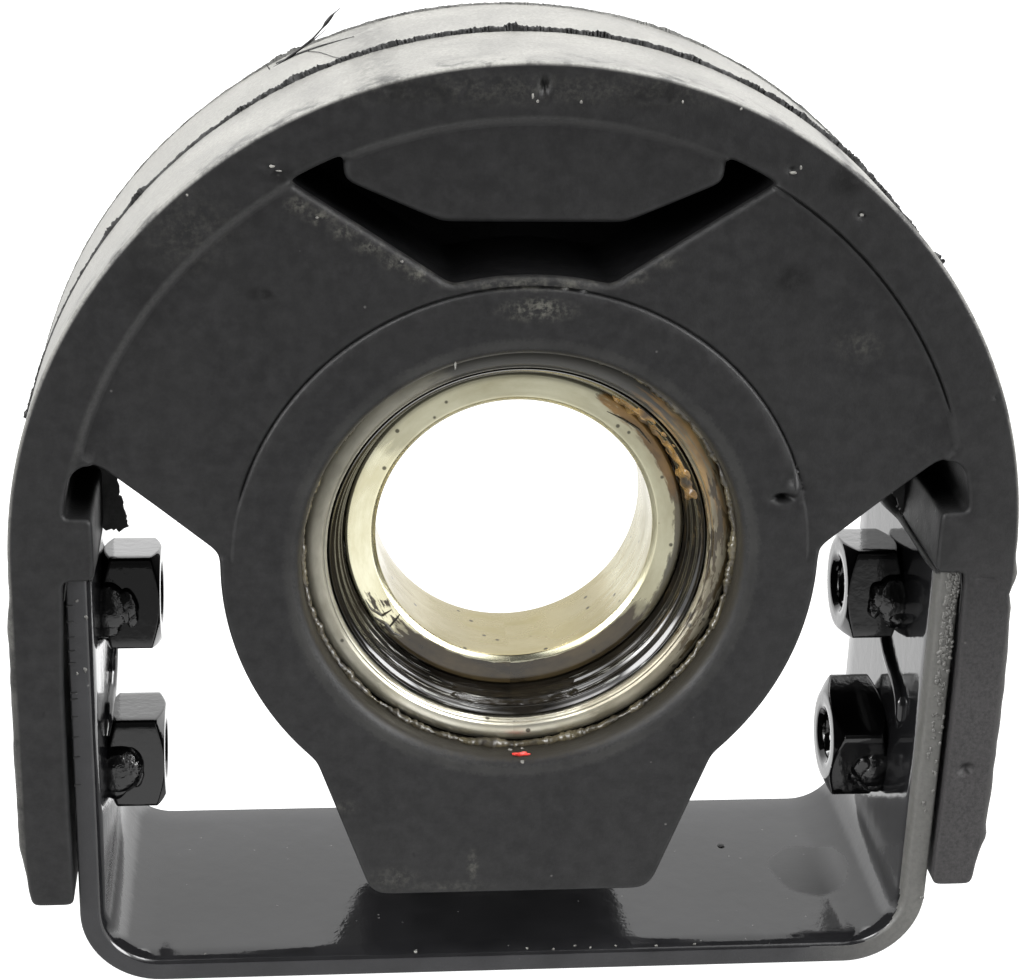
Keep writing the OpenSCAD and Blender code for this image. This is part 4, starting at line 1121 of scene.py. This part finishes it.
def makeBearing(b):
    def turned(name, profile, sigma, material, body, slot):
        # closed radius and depth line, softened, turned about the shaft
        line = softLoop(np.array(profile, float), sigma, 3.0, 12)
        verts = swung(line[:, :1], line[:, 1:], fullTurn(b["segments"]))
        faces = gridFaces(len(line), b["segments"], closeRows=True)
        addShape(name + "_body", verts, [faces], 0.002, material, slot, 30, body=body, replaces=[name])

    h, c, bore, land, outer, outLand = [b[k] for k in ("halfWidth", "chamfer", "bore", "land", "outer", "outerLand")]
    race = b["conformity"] * b["ball"]
    inC = b["pitch"] - b["ball"] / 2 - b["raceGap"] + race
    outC = b["pitch"] + b["ball"] / 2 + b["raceGap"] - race
    inHalf = math.degrees(math.acos((inC - land) / race))
    outHalf = math.degrees(math.acos((outLand - outC) / race))
    turned("inner_ring", np.vstack([
        [(bore, h - c), (bore, -h + c), (bore + c, -h), (land - 0.5, -h), (land, -h + 0.5)],
        arc((inC, 0), race, 180 + inHalf, 180 - inHalf, 20),
        [(land, h - 0.5), (land - 0.5, h), (bore + c, h)]]), 0.12, innerSteel, "inner", "bearing_steel")
    seat, foot = b["caseOut"] + 0.05, h - b["seat"]
    turned("outer_ring", np.vstack([
        [(outer, -h + c), (outer, h - c), (outer - c, h), (seat, h), (seat, foot), (outLand, foot)],
        arc((outC, 0), race, outHalf, -outHalf, 20),
        [(outLand, -foot), (seat, -foot), (seat, -h), (outer - c, -h)]]), 0.1, outerSteel, "support", "bearing_steel")
    # case with a rolled front edge: half an oval over the sheet, with a small bead on its inner side
    top, t, opening, sleeve = b["reach"], b["caseSheet"], b["caseOpen"], b["caseOut"]
    rolled, inside = top - b["rollDrop"], top - b["caseSheet"] - b["rollDrop"]
    middle, wide = (opening + b["caseRoll"]) / 2, (b["caseRoll"] - opening) / 2
    q = np.linspace(0, np.pi, 40)
    roll = columns(middle - wide * np.cos(q), top - b["rollDrop"] * (1 - np.sin(q) ** 0.8))
    roll[:, 1] -= 0.32 * np.exp(-((roll[:, 0] - opening - 0.75) / 0.16) ** 2)
    case = np.vstack([[(opening, inside)], roll,
                      [(sleeve, rolled - 1.2), (sleeve, foot), (sleeve - t, foot), (sleeve - t, inside)]])
    # lip: a ridged cone from its tip to the case
    tipY, sheet = h - b["lipOverlap"], b["lipSheet"]
    low, high, out = lipLine(b, 0.0)
    q = np.linspace(0, 1, 90)[:, None]
    swell = sum(most * np.exp(-((q - at) / half) ** 2) for at, most, half in b["ridges"])
    lip = np.vstack([low + q * (high - low) + swell * out,
                     [(opening + 0.2, rolled - 1.6), (opening + 0.2, top - t - sheet - 1.6),
                      (b["lipTip"] + sheet, tipY), (b["lipTip"], tipY)]])
    for name, s in (("front", -1), ("rear", 1)):
        turned(name + "_seal_case", case * [1, s], 0.07, sealSteel, "support", "seal_steel")
        turned(name + "_seal_lip", lip * [1, s], 0.1, sealRubber, "support", "seal_rubber")


makeBearing(bearing)
for name, node in nodes.items():
    finish = ballSteel if name.startswith("ball_") else cageSteel if name.startswith("cage_") else None
    if finish:
        node.data.materials.clear()
        node.data.materials.append(finish)

# grease: a ragged roll in the gap round the case, a pool low in the funnel, a brown smear on its right, small smears
grease = {
    "roll": {"radius": 42.05, "y": -20.9, "thick": 0.75, "rag": 0.6, "segments": 900, "sides": 10, "seed": 81},
    # patches on the seal lip: angles from and to in degrees, share of the funnel from and to, thickness, seed
    "pool": {"angles": (-112, -66), "shares": (0.02, 0.8), "thick": 0.5, "rough": 0.1, "seed": 83},
    "smear": {"angles": (12, 60), "shares": (0.05, 0.95), "thick": 0.8, "rough": 0.9, "seed": 85},
    "drips": {"sides": 8, "steps": 50, "paths": (
        [(-27.6, -11.0, -18.2, 0.15), (-25.4, -11.1, -19.6, 0.35), (-23.8, -11.1, -21.6, 0.3),
         (-21.8, -11.0, -22.6, 0.1)],
        [(-29.5, -11.0, -14.2, 0.08), (-28.2, -11.1, -16.4, 0.22), (-26.0, -11.1, -17.8, 0.28),
         (-24.2, -11.0, -16.6, 0.1)],
        [(-22.4, -11.0, -17.4, 0.06), (-23.2, -11.1, -18.6, 0.2), (-24.6, -11.1, -20.4, 0.18),
         (-26.4, -11.0, -20.2, 0.06)],
        [(17.0, -11.0, 25.5, 0.06), (20.4, -11.1, 23.8, 0.2), (23.4, -11.1, 21.8, 0.24), (26.2, -11.0, 18.6, 0.08)])},
}


def makeRoll(g):
    # ring round the shaft whose section swells and shrinks along it
    turn = fullTurn(g["segments"])
    b = fullTurn(g["sides"])[None]

    def wave(shift, waves):
        return ripple(turn, g["seed"] + shift, 2 * np.pi, waves)[:, None]
    thick = np.clip(g["thick"] * (1 + g["rag"] * (wave(0, 60) + 0.8 * wave(1, 240))), 0.12, 1.3)
    thick = thick * (1 + 0.35 * wave(2, 200) * np.cos(2 * b))
    y = g["y"] + 0.4 * wave(3, 90) - 1.15 * thick * np.sin(b)
    verts = swung(g["radius"] + thick * np.cos(b), y, turn[:, None])
    faces = gridFaces(g["segments"], g["sides"], closeRows=True)
    return addShape("gap_grease", verts, [faces], 0.0005, greaseOlive, "seal_rubber", 80)


def makePatchSheet(name, g, b, material):
    # lens over the seal lip's cone: streaky swelling that dies out at its ragged border, and a flat underside
    rows, cols = 70, 220
    low, high, out = lipLine(b, 0.3)
    q = np.linspace(*g["shares"], rows)[:, None]
    a = np.radians(np.linspace(*g["angles"], cols))[None]
    u, v = np.linspace(0, 1, rows)[:, None], np.linspace(0, 1, cols)[None]
    span, seed = math.radians(g["angles"][1] - g["angles"][0]), g["seed"]
    streaks = sum(ripple(a[0] * (1 + 0.04 * k), seed + k, 2.3 * span, 26)[None] * np.exp(-((u * 7 - k) / 0.9) ** 2)
                  for k in range(8))
    ends = 0.09 + 0.06 * ripple(u[:, 0], seed + 20, 1.3, 9)[:, None]
    sides = 0.16 + 0.12 * ripple(v[0], seed + 21, 1.3, 16)[None]
    fade = smoothStep(v / ends) * smoothStep((1 - v) / ends) * smoothStep(u / sides) * smoothStep((1 - u) / sides)
    lift = g["thick"] * fade * np.clip(1 + g["rough"] * streaks, 0.08, 2.2)
    sheets = []
    for rise in (lift, -0.25 + 0 * lift):
        r, y = [low[k] + q * (high - low)[k] + rise * out[k] for k in (0, 1)]
        sheets.append(swung(r, -y, a).reshape(-1, 3))
    n = rows * cols
    top = gridFaces(rows, cols, closeCols=False)
    border = np.concatenate([np.arange(cols), cols * np.arange(1, rows) + cols - 1, n - 2 - np.arange(cols - 1),
                             cols * np.arange(rows - 2, 0, -1)])
    after = np.roll(border, -1)
    side = columns(border, after, after + n, border + n)
    return addShape(name, np.vstack(sheets), [top, top[:, ::-1] + n, side], 0.0005, material, "seal_rubber", 80)


makeRoll(grease["roll"])
makePatchSheet("pool_grease", grease["pool"], bearing, greaseBlack)
makePatchSheet("smear_grease", grease["smear"], bearing, greaseBrown)
makeTubes("ring_grease", grease["drips"], greaseOlive, "seal_rubber", "inner")

# dab of red paint low on the rubber lip, and a dark speck on the strap's floor
dab = {"middle": (1.2, -24.3, -42.5), "size": (1.9, 1.5, 0.55), "tilt": 40.0, "seed": 101}
floorSpeck = {"middle": (51.4, 13.7, -87.5), "size": (0.9, 0.7, 0.3), "seed": 131}
# chalky specks: middle and half sizes
chalkSpecks = {"seed": 102, "places": (
    # round the dab
    (-0.8, -22.8, -42.25, 0.45, 0.4, 0.3), (1.7, -22.4, -42.25, 0.35, 0.3, 0.3), (1.4, -26.3, -43.1, 0.4, 0.35, 0.45),
    (-13.8, -26.2, 41.2, 0.18, 0.3, 1.5),
    # dust by the strap's front edge
    (4.0, -24.3, -88.0, 0.25, 0.2, 0.2), (9.5, -24.6, -88.1, 0.2, 0.2, 0.25), (14.0, -23.9, -87.9, 0.3, 0.2, 0.2),
    (17.2, -24.5, -88.1, 0.2, 0.2, 0.3), (22.5, -24.2, -88.0, 0.25, 0.25, 0.2), (31.0, -24.4, -88.1, 0.3, 0.2, 0.2),
    (39.0, -24.3, -88.0, 0.35, 0.2, 0.2), (-19.0, -24.4, -88.1, 0.35, 0.25, 0.3),
    (-62.0, -23.4, -87.9, 0.3, 0.25, 0.25),
    # chips on the front face
    (-45.9, -26.9, 77.1, 0.9, 0.4, 0.25), (-47.1, -26.9, 77.8, 0.5, 0.4, 0.3), (-45.0, -26.6, 76.3, 0.7, 0.4, 0.2),
    (-62.1, -27.2, 72.6, 0.3, 0.2, 0.25), (-39.2, -26.3, 68.3, 0.3, 0.2, 0.2), (-23.9, -26.4, 60.2, 0.35, 0.2, 0.25),
    (-1.2, -27.2, 90.9, 0.25, 0.2, 0.6), (-0.3, -27.2, 90.0, 0.3, 0.2, 0.3), (7.4, -27.2, 89.9, 0.3, 0.2, 0.35),
    (25.6, -27.2, 90.1, 0.2, 0.2, 0.3), (36.2, -27.2, 88.9, 0.25, 0.2, 0.3), (46.5, -27.1, 77.3, 0.7, 0.3, 0.25),
    (47.9, -27.1, 78.3, 0.25, 0.3, 0.35), (59.9, -27.1, 69.5, 0.3, 0.3, 0.22), (29.0, -26.4, 54.2, 0.3, 0.2, 0.3))}


tilt = math.radians(dab["tilt"])
dabAxes = np.array([[1, 0, 0], [0, math.cos(tilt), -math.sin(tilt)], [0, math.sin(tilt), math.cos(tilt)]])
addShape("red_dab", *blob(dab["middle"], dab["size"], dab["seed"], 0.3, axes=dabAxes), 0.0005, redPaint,
         "strap_paint", 80)
specks = [blob(place[:3], place[3:], chalkSpecks["seed"] + i, 0.25, 10, 14)
          for i, place in enumerate(chalkSpecks["places"])]
addShape("chalk_specks", *joinParts(specks), 0.0005, chalk, "cushion_rubber", 80)
addShape("floor_speck", *blob(floorSpeck["middle"], floorSpeck["size"], floorSpeck["seed"], 0.3, 12, 16), 0.0005,
         flashRubber, "strap_paint", 80)
print("bearing made")


# stage, light and camera
studio = {"floorZ": -92.65, "floorSize": 6.0, "floorTone": 0.03, "floorGlow": 1.22,
          # the floor glows less towards the camera's side: from y, to y in metres, and the share left
          "floorFade": (-0.15, -0.6, 0.07),
          # light by height, as sine of the elevation and radiance: low walls all round
          "walls": ((-1.0, 0.6), (0.0, 1.9), (0.1, 1.9), (0.22, 1.4), (0.5, 1.75)),
          # darker towards the camera, by the cosine of the turn from it: from, to, and the share left
          "front": (0.93, 0.7, 0.06),
          # brighter at the front sides: cosine rising from, to, falling from, to, and added radiance
          "sides": (-0.1, 0.25, 0.6, 0.85, 0.5),
          # a lamp on each side in front: direction, cosine at its edge and inside it, radiance
          "lamps": (((0.84, -0.38, 0.38), 0.95, 0.975, 18.0), ((-0.84, -0.38, 0.38), 0.95, 0.975, 18.0)),
          # and steps of a bright tent top at the back, on both sides: sine from, sine to, added radiance
          "tent": ((0.55, 0.7, 5.0), (0.72, 0.82, 24.0), (0.9, 0.97, -14.0)),
          "tentFront": (-0.35, 0.1), "tentAside": (0.22, 0.4)}
camera = {"azimuth": -6.073, "elevation": 22.293, "roll": 1.907, "target": (-2.6, -27.25, 15.85), "distance": 441.7,
          "lens": 82.385, "sensor": 36.0}


def makeStage(s):
    half = s["floorSize"] / 2
    mesh = bpy.data.meshes.new("floor")
    corners = [(-half, -half), (half, -half), (half, half), (-half, half)]
    mesh.from_pydata([(x, y, s["floorZ"] * mm) for x, y in corners], [], [(0, 1, 2, 3)])
    material, tree, shader = newMaterial("floorWhite")
    near, far, share = s["floorFade"]
    glow = remap(axesOf(here(tree))[1], far, near, s["floorGlow"] * share, s["floorGlow"])
    feed(shader, {"Base Color": [s["floorTone"]] * 3, "Roughness": 0.7, "Emission Color": (1, 1, 1),
                  "Emission Strength": glow})
    mesh.materials.append(material)
    floor = bpy.data.objects.new("floor", mesh)
    scene.collection.objects.link(floor)
    world = bpy.data.worlds.new("studio")
    world.use_nodes = True
    tree = world.node_tree
    towards = addNode(tree, "TexCoord", {})["Generated"]
    x, y, z = axesOf(towards)
    level = s["walls"][0][1]
    for (low, before), (high, after) in zip(s["walls"], s["walls"][1:]):
        level = plus(level, remap(z, low, high, 0.0, after - before))
    length = farFrom(towards, (0, 0, 0), (1, 1, 0))
    facing = maths("DIVIDE", times(y, -1.0), maths("MAXIMUM", length, 0.05))
    near, far, share = s["front"]
    level = times(level, remap(facing, near, far, share, 1.0))
    rise, full, fall, gone, added = s["sides"]
    level = plus(level, times(remap(facing, rise, full), remap(facing, gone, fall), added))
    for way, rim, core, radiance in s["lamps"]:
        near = vectorMaths("DOT_PRODUCT", "Value", towards, Vector(way).normalized())
        level = plus(level, remap(near, rim, core, 0.0, radiance))
    behind = times(remap(y, *s["tentFront"]), remap(maths("ABSOLUTE", x), *s["tentAside"]))
    for low, high, radiance in s["tent"]:
        level = plus(level, times(remap(z, low, high, 0.0, radiance), behind))
    feed(tree.nodes["Background"], {"Color": (1, 1, 1), "Strength": level})
    scene.world = world
    scene.view_settings.view_transform = "Standard"


def makeCamera(c):
    az, el, roll = [math.radians(c[k]) for k in ("azimuth", "elevation", "roll")]
    back = Vector((math.sin(az) * math.cos(el), -math.cos(az) * math.cos(el), math.sin(el)))
    right = (-back).cross(Vector((0, 0, 1))).normalized()
    up = right.cross(-back)
    turnedRight = math.cos(roll) * right + math.sin(roll) * up
    turnedUp = -math.sin(roll) * right + math.cos(roll) * up
    data = bpy.data.cameras.new("camera")
    data.lens, data.sensor_width = c["lens"], c["sensor"]
    data.clip_start, data.clip_end = 0.01, 50
    eye = bpy.data.objects.new("camera", data)
    place = (Vector(c["target"]) + back * c["distance"]) * mm
    turn = Matrix((turnedRight, turnedUp, back)).transposed()
    eye.matrix_world = Matrix.Translation(place) @ turn.to_4x4()
    scene.collection.objects.link(eye)
    scene.camera = eye


makeStage(studio)
makeCamera(camera)
print("stage, light and camera made")
